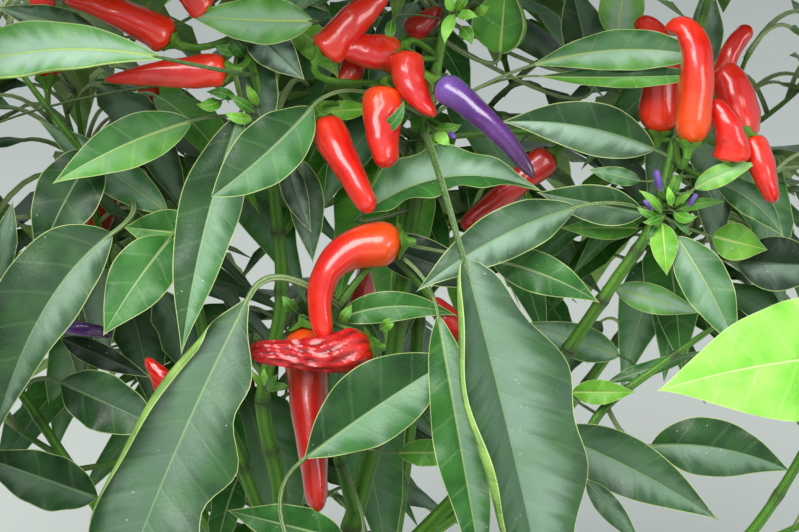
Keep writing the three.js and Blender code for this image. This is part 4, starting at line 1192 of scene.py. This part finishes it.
fill(blade_marks, group_end, ("Rib", rib), ("Rim", rim), ("Vein", vein), ("Sheen band", inner),
     ("Height", height))
print("group:", blade_marks.name)

# %% [markdown]
# ## Leaf materials
# The upper side of an old leaf is deep green. Over it lies a painted sheen: a grey-green that
# stands for the reflection of an overcast sky on a satin leaf, more on some halves than on others.
# Young leaves are lime, leaves in shade are painted almost black-green, and every under side is
# paler. The two halves of a leaf may differ, so one function makes a material for each tint and
# step of painted sheen when a leaf first asks for it.

# %% Leaf materials
LEAF_TINTS = {  # between the veins: deep, light; then the vein
    "shade": [(20, 44, 24), (32, 60, 34), (70, 96, 62)],
    "dark": [(26, 62, 28), (44, 88, 38), (120, 150, 104)],
    "mid": [(38, 94, 34), (60, 122, 48), (150, 176, 118)],
    "bright": [(60, 130, 34), (92, 160, 50), (172, 200, 112)],
    "lime": [(92, 164, 38), (128, 192, 62), (186, 214, 120)],
    "young": [(128, 206, 66), (160, 232, 96), (206, 240, 150)],
    "under": [(104, 144, 70), (140, 176, 88), (178, 200, 120)],
}
# Painted sheen: a grey-green that stands for the reflection of the sky on a satin leaf, laid into the
# colour in steps.
SHEEN_TINT = colour(160, 192, 168)
RIM_TINT = colour(190, 206, 132)
# Pale specks: dust, and painted glints where they stand for dew.
SPECK_DUST_AND_GLINT_TINT = colour(206, 222, 208)
SHEEN_STEPS = 4
VEIN_SHARE, RIB_SHARE, RIM_SHARE, SPECK_STRENGTH = 0.14, 0.85, 0.8, 0.7
SATIN = 0.38  # specular level of leaves and stems
leaf_skins = {}


def leaf_skin(skin_name, roughness=0.5, coat=0.14, relief=0.4):
    """A leaf material, named by its tint and its step of painted sheen, as in dark_2."""
    if skin_name in leaf_skins:
        return leaf_skins[skin_name]
    tint, step = skin_name.split("_")
    deep, light, vein = (colour(*screen) for screen in LEAF_TINTS[tint])
    material, tree, shader = new_material("leaf_" + skin_name, light)
    marks = use_group(tree, blade_marks)
    growth = use_group(tree, growth_marks, ("Patch size", 0.014), ("Fleck size", 0.0011))
    skin = blend(tree, growth["Patch"], deep, light)
    skin = blend(tree, times(tree, growth["Fleck"], 0.2), skin, light)
    # Painted sheen, strongest near the rib and weaker on patches, by the step that the name gives.
    sheen = times_plus(tree, marks["Sheen band"], 0.8, 0.15)
    sheen = times(tree, sheen, times_plus(tree, growth["Patch"], -0.25, 1.0))
    skin = blend(tree, times(tree, sheen, int(step) / SHEEN_STEPS), skin, SHEEN_TINT)
    for mask, share, over in ((marks["Vein"], VEIN_SHARE, vein), (marks["Rib"], RIB_SHARE, vein),
                              (marks["Rim"], RIM_SHARE, RIM_TINT),
                              (growth["Speck"], SPECK_STRENGTH, SPECK_DUST_AND_GLINT_TINT)):
        skin = blend(tree, times(tree, mask, share), skin, over)
    rough = times_plus(tree, growth["Fleck"], 0.12, roughness - 0.06)
    height = times_plus(tree, growth["Fleck"], 0.05, marks["Height"])
    fill(tree, shader, ("Base Color", skin), ("Roughness", rough), ("Specular IOR Level", SATIN),
         ("Normal", relief_of(tree, height, relief, 0.0013)), ("Coat Weight", coat),
         ("Coat Roughness", 0.3))
    leaf_skins[skin_name] = material
    return material


under_skin = leaf_skin("under_0", roughness=0.6, coat=0.0, relief=0.7)
print("leaf tints:", ", ".join(LEAF_TINTS))

# %% [markdown]
# ## Stem and stalk materials
# Pepper stems are green and ridged, dark purple where twigs and leaves join, and corky brown
# near the ground. Ridges and joints are real relief in the meshes, which write where they are
# into attributes. The material only turns these into colour.

# %% Stem and stalk materials
STEM_ATTRIBUTES = ("ridge", "joint", "woody")
STEM_PURPLE = (48, 26, 44)
CORK = colour(92, 78, 56), colour(122, 106, 80)


def stem_material(name, tints, roughness):
    """A stem or stalk material, with tints for its valleys, ridges and joints."""
    valley, ridge, joint = (colour(*screen) for screen in tints)
    material, tree, shader = new_material(name, ridge)
    growth = use_group(tree, growth_marks, ("Patch size", 0.012), ("Fleck size", 0.0009))
    on_ridge, on_joint, on_wood = (read_mark(tree, mark) for mark in STEM_ATTRIBUTES)
    skin = blend(tree, on_ridge, valley, ridge)
    skin = blend(tree, times(tree, growth["Patch"], 0.3), skin, valley)
    stain = times_plus(tree, growth["Patch"], 0.35, 0.6)
    skin = blend(tree, times(tree, on_joint, stain), skin, joint)
    skin = blend(tree, times(tree, growth["Fleck"], 0.2), skin, ridge)
    skin = blend(tree, on_wood, skin, blend(tree, growth["Fleck"], *CORK))
    rough = times_plus(tree, on_wood, 0.3, roughness)
    height = times_plus(tree, growth["Fleck"], 0.6, growth["Patch"])
    fill(tree, shader, ("Base Color", skin), ("Roughness", rough), ("Specular IOR Level", SATIN),
         ("Normal", relief_of(tree, height, 0.45, 0.0005)))
    return material


stem_skin = stem_material("stem_green", [(60, 110, 30), (108, 160, 56), STEM_PURPLE], 0.46)
stalk_skin = stem_material("stalk_green", [(62, 96, 42), (158, 180, 124), STEM_PURPLE], 0.4)
calyx_skin = stem_material("calyx_green", [(66, 116, 36), (112, 162, 60), (58, 62, 36)], 0.45)
print("stem materials:", stem_skin.name, stalk_skin.name, calyx_skin.name)

# %% [markdown]
# ## Pod materials
# A ripe pod is pure red under a waxy skin, often more orange at the shoulder, where it ripened
# last. Others are still dark purple. The wax is a coat layer over a slightly rough skin, which
# gives the broad soft highlight with a sharper one on top of it.

# %% Pod materials
# Painted shade: the dark red laid into the valleys of a wrinkled pod's folds.
CREASE_SHADE_TINT = colour(84, 6, 14)
SHOULDER_END = 0.4  # along a pod
TIP_START = 0.45


def pod_material(name, tints, roughness=0.32, coat=0.9, relief=0.3):
    """A pod material, with tints for its body, patches, shoulder and, where it differs, tip."""
    body, patch, shoulder, *tip = (colour(*screen) for screen in tints)
    material, tree, shader = new_material(name, body)
    growth = use_group(tree, growth_marks, ("Patch size", 0.016), ("Fleck size", 0.0012))
    along = read_mark(tree, "along")
    skin = blend(tree, times(tree, growth["Patch"], 0.7), body, patch)
    skin = blend(tree, times(tree, fade(tree, along, 0.0, SHOULDER_END), 0.85), skin, shoulder)
    if tip:
        skin = blend(tree, fade(tree, along, 1.0, TIP_START), skin, tip[0])
    # Painted shade darkens the valleys of the folds.
    skin = blend(tree, times(tree, read_mark(tree, "crease"), 0.85), skin, CREASE_SHADE_TINT)
    rough = times_plus(tree, growth["Fleck"], 0.06, roughness)
    height = times_plus(tree, growth["Fleck"], 0.15, growth["Patch"])
    fill(tree, shader, ("Base Color", skin), ("Roughness", rough),
         ("Normal", relief_of(tree, height, relief, 0.0006)), ("Coat Weight", coat),
         ("Coat Roughness", 0.14), ("Subsurface Weight", 0.12),
         ("Subsurface Radius", (0.004, 0.0008, 0.0004)))
    return material


# late is orange with a darker body and deep is a darker red: both are painted shade for pods that lie in
# shade.
POD_LOOKS = {
    "red": pod_material("pod_red", [(214, 16, 12), (232, 40, 20), (236, 52, 18)]),
    "orange": pod_material("pod_orange_red", [(212, 18, 12), (234, 46, 18), (248, 88, 18)]),
    "late": pod_material("pod_shaded_orange_red", [(176, 18, 14), (196, 28, 18), (248, 88, 18)]),
    "deep": pod_material("pod_shaded_red", [(176, 18, 18), (200, 32, 26), (160, 20, 20)]),
    "shrivelled": pod_material("pod_shrivelled", [(176, 12, 20), (204, 30, 34), (226, 30, 18)],
                               roughness=0.34, coat=0.6, relief=0.8),
    "bud": pod_material("bud_violet", [(112, 80, 170), (156, 128, 214), (190, 186, 200)],
                        roughness=0.5, coat=0.1),
    "purple": pod_material("pod_purple", [(74, 26, 104), (104, 44, 136), (128, 92, 178), (58, 20, 62)],
                           roughness=0.24),
}
POD_ORDER = list(POD_LOOKS)
print("pod materials:", ", ".join(POD_ORDER))

# %% [markdown]
# ## Bark of the main stem and boughs
# A stem is drawn out ring by ring: a circle of corners is extruded along the limb, and each
# new ring is moved to its place and given its radius. Five soft ridges run up it, it swells at
# the joints, and the main stem spreads into a lobed, corky foot. One piece replaces each solid,
# so that a bough can be told from the next.

# %% Bark
FORK_HEIGHT = 150.0
FOOT_RADIUS = 7.0
FORK_RADIUS = 5.6
FLARE_RADIUS = 11.5
FLARE_HEIGHT = 26.0
FLARE_FALL = 2.4
KNUCKLE_RADIUS = 7.4
KNUCKLE_SHARPNESS = 14
STEM_LEAN = np.array([(0, 0, 0), (-4, 1, 50), (-9, 2, 100), (-12, 3, FORK_HEIGHT)], float)
STEM_JOINTS = np.array([58.0, 104.0])  # heights of the swellings on the main stem
STEM_SIDES, BOUGH_SIDES = 30, 18
STEM_TWIST, BOUGH_TWIST = 0.02, 0.03  # radians from ring to ring
RING_SPACING = 2.6
JOINT_SPACING = 44.0
JOINT_LENGTH = 2.6
JOINT_SWELL = 0.16
TIP_CLEAR = 12.0  # no other swelling lies this near to the one at a bough's tip
RIDGES = 5
RIDGE_RELIEF = 0.07
RIDGE_FADE = 0.6  # share of the ridges that is lost at a joint
FOOT_LOBES = 4
LOBE_RELIEF = 0.14
STEM_CORK = (1.15, 1.5)  # cork at the ground, and how much of it is lost up to the fork
BOUGH_CORK, MOST_BOUGH_CORK = 0.75, 0.6
CORK_FALL = 210.0  # millimetres
BARK_ANGLE = math.radians(60)


def stem_piece(node_name, middle, way, radii, joints, woody, sides, twist, lobes=0.0):
    """One ridged, tapering stem along a line of points, in place of a solid."""
    bm = bmesh.new()
    marks = [bm.verts.layers.float.new(mark) for mark in STEM_ATTRIBUTES]
    ring = bmesh.ops.create_circle(bm, segments=sides, radius=1)["verts"]
    edges = list(bm.edges)
    across = carried(way)
    bmesh.ops.contextual_create(bm, geom=edges)
    for step, point in enumerate(middle):
        if step:
            grown = bmesh.ops.extrude_edge_only(bm, edges=edges)["geom"]
            ring = [part for part in grown if isinstance(part, bmesh.types.BMVert)]
            edges = [part for part in grown if isinstance(part, bmesh.types.BMEdge)]
        sideways, upright = across[step], np.cross(way[step], across[step])
        for corner, vert in enumerate(ring):
            angle = 2 * math.pi * corner / sides
            ridge = math.cos(RIDGES * angle + twist * step)
            swell = 1 + RIDGE_RELIEF * ridge * (1 - RIDGE_FADE * joints[step]) + JOINT_SWELL * joints[step]
            lobe = 1 + LOBE_RELIEF * lobes * woody[step] * math.cos(FOOT_LOBES * angle)
            spoke = sideways * math.cos(angle) + upright * math.sin(angle)
            vert.co = Vector((point + spoke * radii[step] * swell * lobe) * MM)
            for mark, value in zip(marks, (0.5 + 0.5 * ridge, joints[step], woody[step])):
                vert[mark] = value
    bmesh.ops.contextual_create(bm, geom=edges)
    bmesh.ops.recalc_face_normals(bm, faces=bm.faces)
    mesh = bpy.data.meshes.new(node_name + "_bark")
    bm.to_mesh(mesh)
    bm.free()
    placed(mesh, [stem_skin], node_name, BARK_ANGLE)
    return len(mesh.polygons)


def rings_along(points, start, end):
    """Even points along part of a smooth line, their ways and how far along each lies."""
    fine = smooth_at(points, np.linspace(start, end, 400))
    run = np.append(0, np.cumsum(np.linalg.norm(np.diff(fine, axis=0), axis=1)))
    at = np.linspace(0, run[-1], int(run[-1] / RING_SPACING) + 1)
    middle = np.stack([np.interp(at, run, fine[:, axis]) for axis in range(3)], -1)
    return middle, unit(np.gradient(middle, axis=0)), at


def swellings(at, places):
    return np.exp(-(((at[:, None] - places) / JOINT_LENGTH) ** 2)).max(1)


trunk, _, height = rings_along(STEM_LEAN, 0, 1)
share = trunk[:, 2] / FORK_HEIGHT
flare = np.exp(-share * FORK_HEIGHT * FLARE_FALL / FLARE_HEIGHT)
knuckle = np.exp(-(((1 - share) * KNUCKLE_SHARPNESS) ** 2))
radii = (FOOT_RADIUS + (FORK_RADIUS - FOOT_RADIUS) * share + (FLARE_RADIUS - FOOT_RADIUS) * flare
         + (KNUCKLE_RADIUS - FORK_RADIUS) * knuckle)
upright = np.tile(UP, (len(trunk), 1))
woody = np.clip(STEM_CORK[0] - share * STEM_CORK[1], 0, 1)
bark_faces = stem_piece("main_stem", trunk, upright, radii, swellings(height, STEM_JOINTS), woody,
                        STEM_SIDES, STEM_TWIST, lobes=1.0)
for name, limb in LIMBS.items():
    middle, way, at = rings_along(limb["points"], 0, limb["share"])
    radii = np.interp(at, [0, at[-1]], limb["radii"])
    places = np.append(np.arange(JOINT_SPACING, at[-1] - TIP_CLEAR, JOINT_SPACING), at[-1])
    woody = np.clip(BOUGH_CORK - middle[:, 2] / CORK_FALL, 0, MOST_BOUGH_CORK)
    bark_faces += stem_piece("bough_" + name, middle, way, radii, swellings(at, places), woody,
                             BOUGH_SIDES, BOUGH_TWIST)
print("bark faces:", bark_faces)

# %% [markdown]
# ## Leaves
# Now every leaf gets its blade. The listed ones are made of about fourteen hundred faces each,
# so that folds and rolled rims are real, and the many others of a few dozen. Leaves that follow
# one another share a tint, dealt out with a seeded generator, as on a plant where each spray
# has its own age and light.

# %% Leaves
# Each look is a tint and a step of painted sheen.
SPRAY_LOOKS = ["dark_1", "dark_2", "mid_1", "mid_2", "bright_0", "mid_0"]
SPRAY_SIZE = 5  # leaves in a row that share a tint
YOUNG_WIDTH = 16.0 * VIEW_PIXEL  # narrower leaves of the front need fewer faces
blades = 0
for name, limb in LIMBS.items():
    joined = Joined("leaves_" + name)
    chance = np.random.default_rng(limb["seed"])
    slots = [under_skin]
    for index, leaf in enumerate(limb["leaves"] + limb["small_leaves"]):
        kind = "rule"
        if leaf.get("shown"):
            kind = "young" if leaf["wide"] < YOUNG_WIDTH else "shown"
        if index % SPRAY_SIZE == 0:
            spray = SPRAY_LOOKS[chance.integers(len(SPRAY_LOOKS))]
        looks = leaf.get("look", spray).split()
        skins = [leaf_skin(look) for look in (looks[0], looks[-1])]
        slots += [skin for skin in dict.fromkeys(skins) if skin not in slots]
        points, marks = blade_mesh(leaf, *BLADE_GRIDS[kind], chance)
        faces, zone = BLADE_SHEETS[kind]
        places = np.array([slots.index(skins[0]), slots.index(skins[1]), 0])
        joined.add(points, faces, places[zone], marks)
    joined.finish(slots, "mass_" + name, "foliage")
    blades += len(joined.parts)
print("blades:", blades, "in", len(leaf_skins), "leaf materials")

# %% [markdown]
# ## Twigs and leaf stalks
# Shoots go on from the boughs, twigs from the shoots, and grooved stalks carry the blades. All
# are tubes with a few sides that taper and are drawn along the curves of the growth. A stalk
# starts inside its twig and goes on under the blade as its rib, so nothing hangs in the air.

# %% Twigs and leaf stalks
SHOOT_END_RADIUS = 1.1
SHOOT_TAPER = 1.3
SHOOT_SWELL = 0.2
SHOOT_SIDES = 14
SHOOT_JOINTS = 26.0  # from one swelling on a shoot to the next
TWIG_SIDES = 6
TWIG_TAPER = (1.2, 0.4)  # at the start, and what is lost to the tip
TWIG_KINDS = [("grown_twigs", 1.25, 9), ("fine_twigs", 0.8, 6)]  # radius and rings of each kind
STALK_RADIUS = 1.15
FULL_STALK_WIDTH = 40.0  # width of the blade whose stalk has that radius
MOST_STALK_SIZE = 1.25
STALK_GROWTH = 0.6  # power of the blade's width that a stalk's radius follows
STALK_TAPER = (1.3, 0.35)
RIB_TAPER = (0.8, 0.3)  # where the rib starts and where it ends
STALK_GRIDS = {True: (14, 10), False: (7, 5)}  # rings and sides of stalks shown and not shown
RIB_LENGTHS = {True: 0.5, False: 0.2}  # share of the blade that the stalk goes on under
RIB_DEPTH = 0.35
GROOVE_DEPTH = 0.4
GROOVE_WIDTH = 0.55
STRIPE_ANGLE, STRIPE_WIDTH = 0.63, 0.3  # of the pale lines, to each side of a stalk's groove
DARK_FADES = dict(twig=6, stalk=9, pod=7)  # how fast the dark of a joint fades along each


def tube(joined, middle, radii, sides, joints, groove=0.0, face=None):
    """Adds a closed, tapering tube along a line of points."""
    way = unit(np.gradient(middle, axis=0))
    across = carried(way, face)
    angle = angles_round(sides)
    from_groove = np.abs((angle + math.pi) % (2 * math.pi) - math.pi)
    relief = 1 - groove * np.exp(-((from_groove / GROOVE_WIDTH) ** 2))
    ridges = 0.5 + 0.5 * np.cos(RIDGES * angle)
    if groove:
        ridges = np.exp(-(((from_groove - STRIPE_ANGLE) / STRIPE_WIDTH) ** 2))
    points = rings_round(middle, way, across, radii, sides, relief)
    ridge = np.append(np.tile(ridges, len(middle)), [0.5, 0.5])
    joint = np.append(np.repeat(joints, sides), [joints[0], joints[-1]])
    joined.add(points, ring_faces(len(middle), sides), 0, dict(ridge=ridge, joint=joint, woody=ridge * 0))


def stalk_tube(joined, leaf):
    """The stalk of a leaf, which goes on under its blade as the rib."""
    shown = leaf.get("shown", False)
    rings, sides = STALK_GRIDS[shown]
    along = np.linspace(0, 1, rings)
    rib = np.linspace(0, RIB_LENGTHS[shown], rings // 2 + 1)[1:]
    normal = np.cross(bent_way(leaf["midrib"], rib), blade_across(leaf, rib))
    tail = bent_at(leaf["midrib"], rib) - normal * (BLADE_THICK + RIB_DEPTH)
    size = min(MOST_STALK_SIZE, (leaf["wide"] / FULL_STALK_WIDTH) ** STALK_GROWTH)
    taper = np.append(STALK_TAPER[0] - STALK_TAPER[1] * along, np.linspace(*RIB_TAPER, len(rib)))
    radii = STALK_RADIUS * size * taper
    line = np.vstack([bent_at(leaf["stalk"], along), tail])
    face = np.cross(bent_way(leaf["midrib"], 0), blade_across(leaf, np.array([0.0]))[0])
    dark = np.append(np.exp(-along * DARK_FADES["stalk"]), 0 * rib)
    tube(joined, line, radii, sides, dark, GROOVE_DEPTH if shown else 0.0, face)


for name, limb in LIMBS.items():
    twigs, stalks = Joined("twigs_" + name), Joined("leaf_stalks_" + name)
    middle, _, at = rings_along(limb["points"], limb["starts"], 1)
    start_radius = limb["radii"][1]
    radii = start_radius + (SHOOT_END_RADIUS - start_radius) * (at / at[-1]) ** SHOOT_TAPER
    joints = swellings(at, np.arange(0, at[-1], SHOOT_JOINTS))
    tube(twigs, middle, radii * (1 + SHOOT_SWELL * joints), SHOOT_SIDES, joints)
    for kind, radius, rings in TWIG_KINDS:
        for twig in limb[kind]:
            along = np.linspace(0, max(twig["used"]), rings)
            if along[-1] > 0:
                line = bent_at(twig["curve"], along)
                radii = radius * (TWIG_TAPER[0] - TWIG_TAPER[1] * along)
                tube(twigs, line, radii, TWIG_SIDES, np.exp(-along * DARK_FADES["twig"]))
    for leaf in limb["leaves"] + limb["small_leaves"]:
        stalk_tube(stalks, leaf)
    twigs.finish([stem_skin], "mass_" + name, "stem")
    stalks.finish([stalk_skin], "mass_" + name, "foliage")
print("leaf stalks:", count("leaves") + count("small_leaves"))

# %% [markdown]
# ## Pods
# A chilli pod is widest near its shoulder and tapers to a blunt, often bent tip, with shallow
# dents and a few lobes. It is a stack of rings round its middle line. The radius comes from
# one rule and a little relief from sines, with more of it on shrivelled pods.

# %% Pods
LOBE_DEPTH = 0.05
DENT_DEPTH = 0.045
RIPPLE_DEPTH = 0.018
EVEN_RINGS = 0.45  # share of the spacing that is even; the rest crowds to the ends
TIP_ROUND = 0.12  # share of the length that the round tip takes
POD_SHOULDER = 0.11
POD_TAPER = (0.42, 1.7)  # how much narrower the tip is, and how late it narrows
WRINKLED_GRID, SHOWN_POD_GRID, RULE_POD_GRID = (64, 44), (48, 28), (11, 8)  # rings and sides
POD_STALK_RADIUS, POD_STALK_FLARE = 1.35, 0.5  # the stalk widens towards its pod
POD_STALK_GRIDS = {True: (10, 8), False: (5, 5)}  # rings and sides of stalks shown and not shown
STALK_SINK = 2.0  # how far a stalk ends above the base of its pod
CALYX_SIDES = 10
CALYX_PLACES = np.array([-5.5, -2.6, -0.6, 0.9, 2.2])  # along the pod from its base
CALYX_NECK = (1.5, 2.1)  # radii above the pod
CALYX_SHARES = (0.5, 0.78, 0.9)  # of the pod's radius


def pod_profile(along, shoulder, narrower, power):
    """Radius along a pod, as a share of its widest; it is narrower by so much at its tip."""
    shoulder = np.sqrt(1 - (1 - np.minimum(along / shoulder, 1)) ** 2)
    tip = np.sqrt(np.clip(1 - ((along - (1 - TIP_ROUND)) / TIP_ROUND).clip(0, 1) ** 2, 0, 1))
    return shoulder * tip * (1 - narrower * along**power)


def pod_mesh(pod, rings, sides, chance):
    """Points of a pod and the marks that its material reads."""
    ease = (1 - np.cos(np.linspace(0, math.pi, rings + 2)[1:-1])) / 2
    along = (1 - EVEN_RINGS) * ease + EVEN_RINGS * np.linspace(0.004, 0.996, rings)
    way = bent_way(pod["midrib"], along)
    phase = 2 * math.pi * chance.random(6)
    u, v = along[:, None], angles_round(sides)[None]
    lobes = LOBE_DEPTH * np.sin(3 * v + phase[0] + 1.5 * u)
    bulges = LOBE_DEPTH * np.sin(2 * v + 6 * u + phase[1])
    dents = DENT_DEPTH * np.sin(13 * u + phase[2] + 1.3 * np.sin(v + phase[3])) * (1.1 - u)
    ripples = RIPPLE_DEPTH * np.sin(25 * u + phase[3] + 2 * np.sin(2 * v))
    wrinkle = pod.get("wrinkle", 0.0)
    folds = np.sin(11 * v + 2.4 * np.sin(9 * u + phase[4])) + 0.7 * np.sin(7 * v + 31 * u + phase[5])
    relief = 1 + lobes + bulges + dents + ripples + wrinkle * folds * np.sqrt(u) / 2
    # Painted shade: where the folds sink, this mark tells the material to darken the skin.
    crease = np.clip(-folds * 0.6, 0, 1) * (wrinkle > 0)
    taper = pod.get("taper", POD_TAPER)
    radii = pod["radius"] * pod_profile(along, pod.get("shoulder", POD_SHOULDER), *taper)
    points = rings_round(bent_at(pod["midrib"], along), way, carried(way), radii, sides, relief)
    points[-2:] = bent_at(pod["midrib"], [0, 1])
    along = np.append(np.repeat(along, sides), [0, 1])
    return points, dict(along=along, crease=np.append(crease.ravel(), [0, 0]))


def calyx_mesh(pod):
    """A small green cap with short teeth over the shoulder of a pod."""
    rings = len(CALYX_PLACES)
    base, ahead = pod["midrib"][0], bent_way(pod["midrib"], np.array([0.0]))[0]
    way = np.tile(ahead, (rings, 1))
    radii = np.array([*CALYX_NECK, *(share * pod["radius"] for share in CALYX_SHARES)])
    toothed = np.arange(CALYX_SIDES) % 2 == 0
    relief = np.ones((rings, CALYX_SIDES))
    relief[-1] = np.where(toothed, 1.0, 0.86)
    middle = base + CALYX_PLACES[:, None] * ahead
    points = rings_round(middle, way, carried(way), radii, CALYX_SIDES, relief)
    points[-2 - CALYX_SIDES:-2] -= ahead * np.where(toothed, 0.0, 1.5)[:, None]
    points[-1] = base + ahead * 1.5
    ridge = np.append(np.tile(np.where(toothed, 0.9, 0.2), rings), [0.5, 0.5])
    return points, dict(ridge=ridge, joint=ridge * 0, woody=ridge * 0)


for name, limb in LIMBS.items():
    pods, caps = Joined("pods_" + name), Joined("pod_stalks_" + name)
    chance = np.random.default_rng(limb["seed"] + 1)
    for pod in limb["pods"]:
        shown = pod.get("shown", False)
        grid = WRINKLED_GRID if "wrinkle" in pod else SHOWN_POD_GRID if shown else RULE_POD_GRID
        points, marks = pod_mesh(pod, *grid, chance)
        pods.add(points, ring_faces(*grid), POD_ORDER.index(pod.get("look", "red")), marks)
        points, marks = calyx_mesh(pod)
        caps.add(points, ring_faces(len(CALYX_PLACES), CALYX_SIDES), 1, marks)
        rings, sides = POD_STALK_GRIDS[shown]
        along = np.linspace(0, 1, rings)
        line = bent_at(pod["stalk"], along)
        line[-1] -= bent_way(pod["midrib"], 0) * STALK_SINK
        radii = POD_STALK_RADIUS + POD_STALK_FLARE * along**3
        tube(caps, line, radii, sides, np.exp(-along * DARK_FADES["pod"]))
    pods.finish(list(POD_LOOKS.values()), "mass_" + name, "foliage")
    caps.finish([stem_skin, calyx_skin], "mass_" + name, "foliage")
print("pods and buds:", count("pods"))

# %% [markdown]
# ## Floor and light
# The plant is shown on a plain pale floor. A large soft lamp above and in front does what an
# overcast sky does: it gives leaves a satin sheen, on top of the sheen painted into their colour,
# and pods one long highlight. The world fills the shadows, and a weaker lamp from the right
# keeps them from going black.

# %% Floor and light
LAMP_TARGET = Vector((0, 0, 0.4))
bm = bmesh.new()
bmesh.ops.create_grid(bm, x_segments=1, y_segments=1, size=9)
floor_mesh = bpy.data.meshes.new("floor")
bm.to_mesh(floor_mesh)
bm.free()
floor = bpy.data.objects.new("floor", floor_mesh)
bpy.context.collection.objects.link(floor)
floor_material, tree, shader = new_material("floor_pale", colour(205, 208, 200))
grain = node(tree, "TexNoise", ("Vector", node(tree, "TexCoord").outputs["Object"]), ("Scale", 3.0))
floor_tint = blend(tree, grain.outputs[0], colour(200, 204, 196), colour(210, 213, 206))
fill(tree, shader, ("Base Color", floor_tint), ("Roughness", 0.9))
floor_mesh.materials.append(floor_material)

scene = bpy.context.scene
scene.view_settings.view_transform = "Standard"
scene.world = bpy.data.worlds.new("soft_sky")
scene.world.use_nodes = True
sky = scene.world.node_tree
fill(sky, sky.nodes["Background"], ("Color", (0.86, 0.93, 1.0, 1)), ("Strength", 0.62))


def soft_lamp(name, place, size, power, tint):
    """A square lamp that points at the crown."""
    lamp = bpy.data.lights.new(name, "AREA")
    lamp.shape = "SQUARE"
    lamp.size = size
    lamp.energy = power
    lamp.color = tint
    holder = bpy.data.objects.new(name, lamp)
    holder.location = place
    holder.rotation_euler = (LAMP_TARGET - Vector(place)).to_track_quat("-Z", "Y").to_euler()
    bpy.context.collection.objects.link(holder)


soft_lamp("sky_lamp", (-0.5, -1.4, 2.1), 1.5, 61, (1.0, 1.0, 0.98))
soft_lamp("fill_lamp", (1.6, -1.6, 1.0), 1.0, 16, (1.0, 0.98, 0.95))
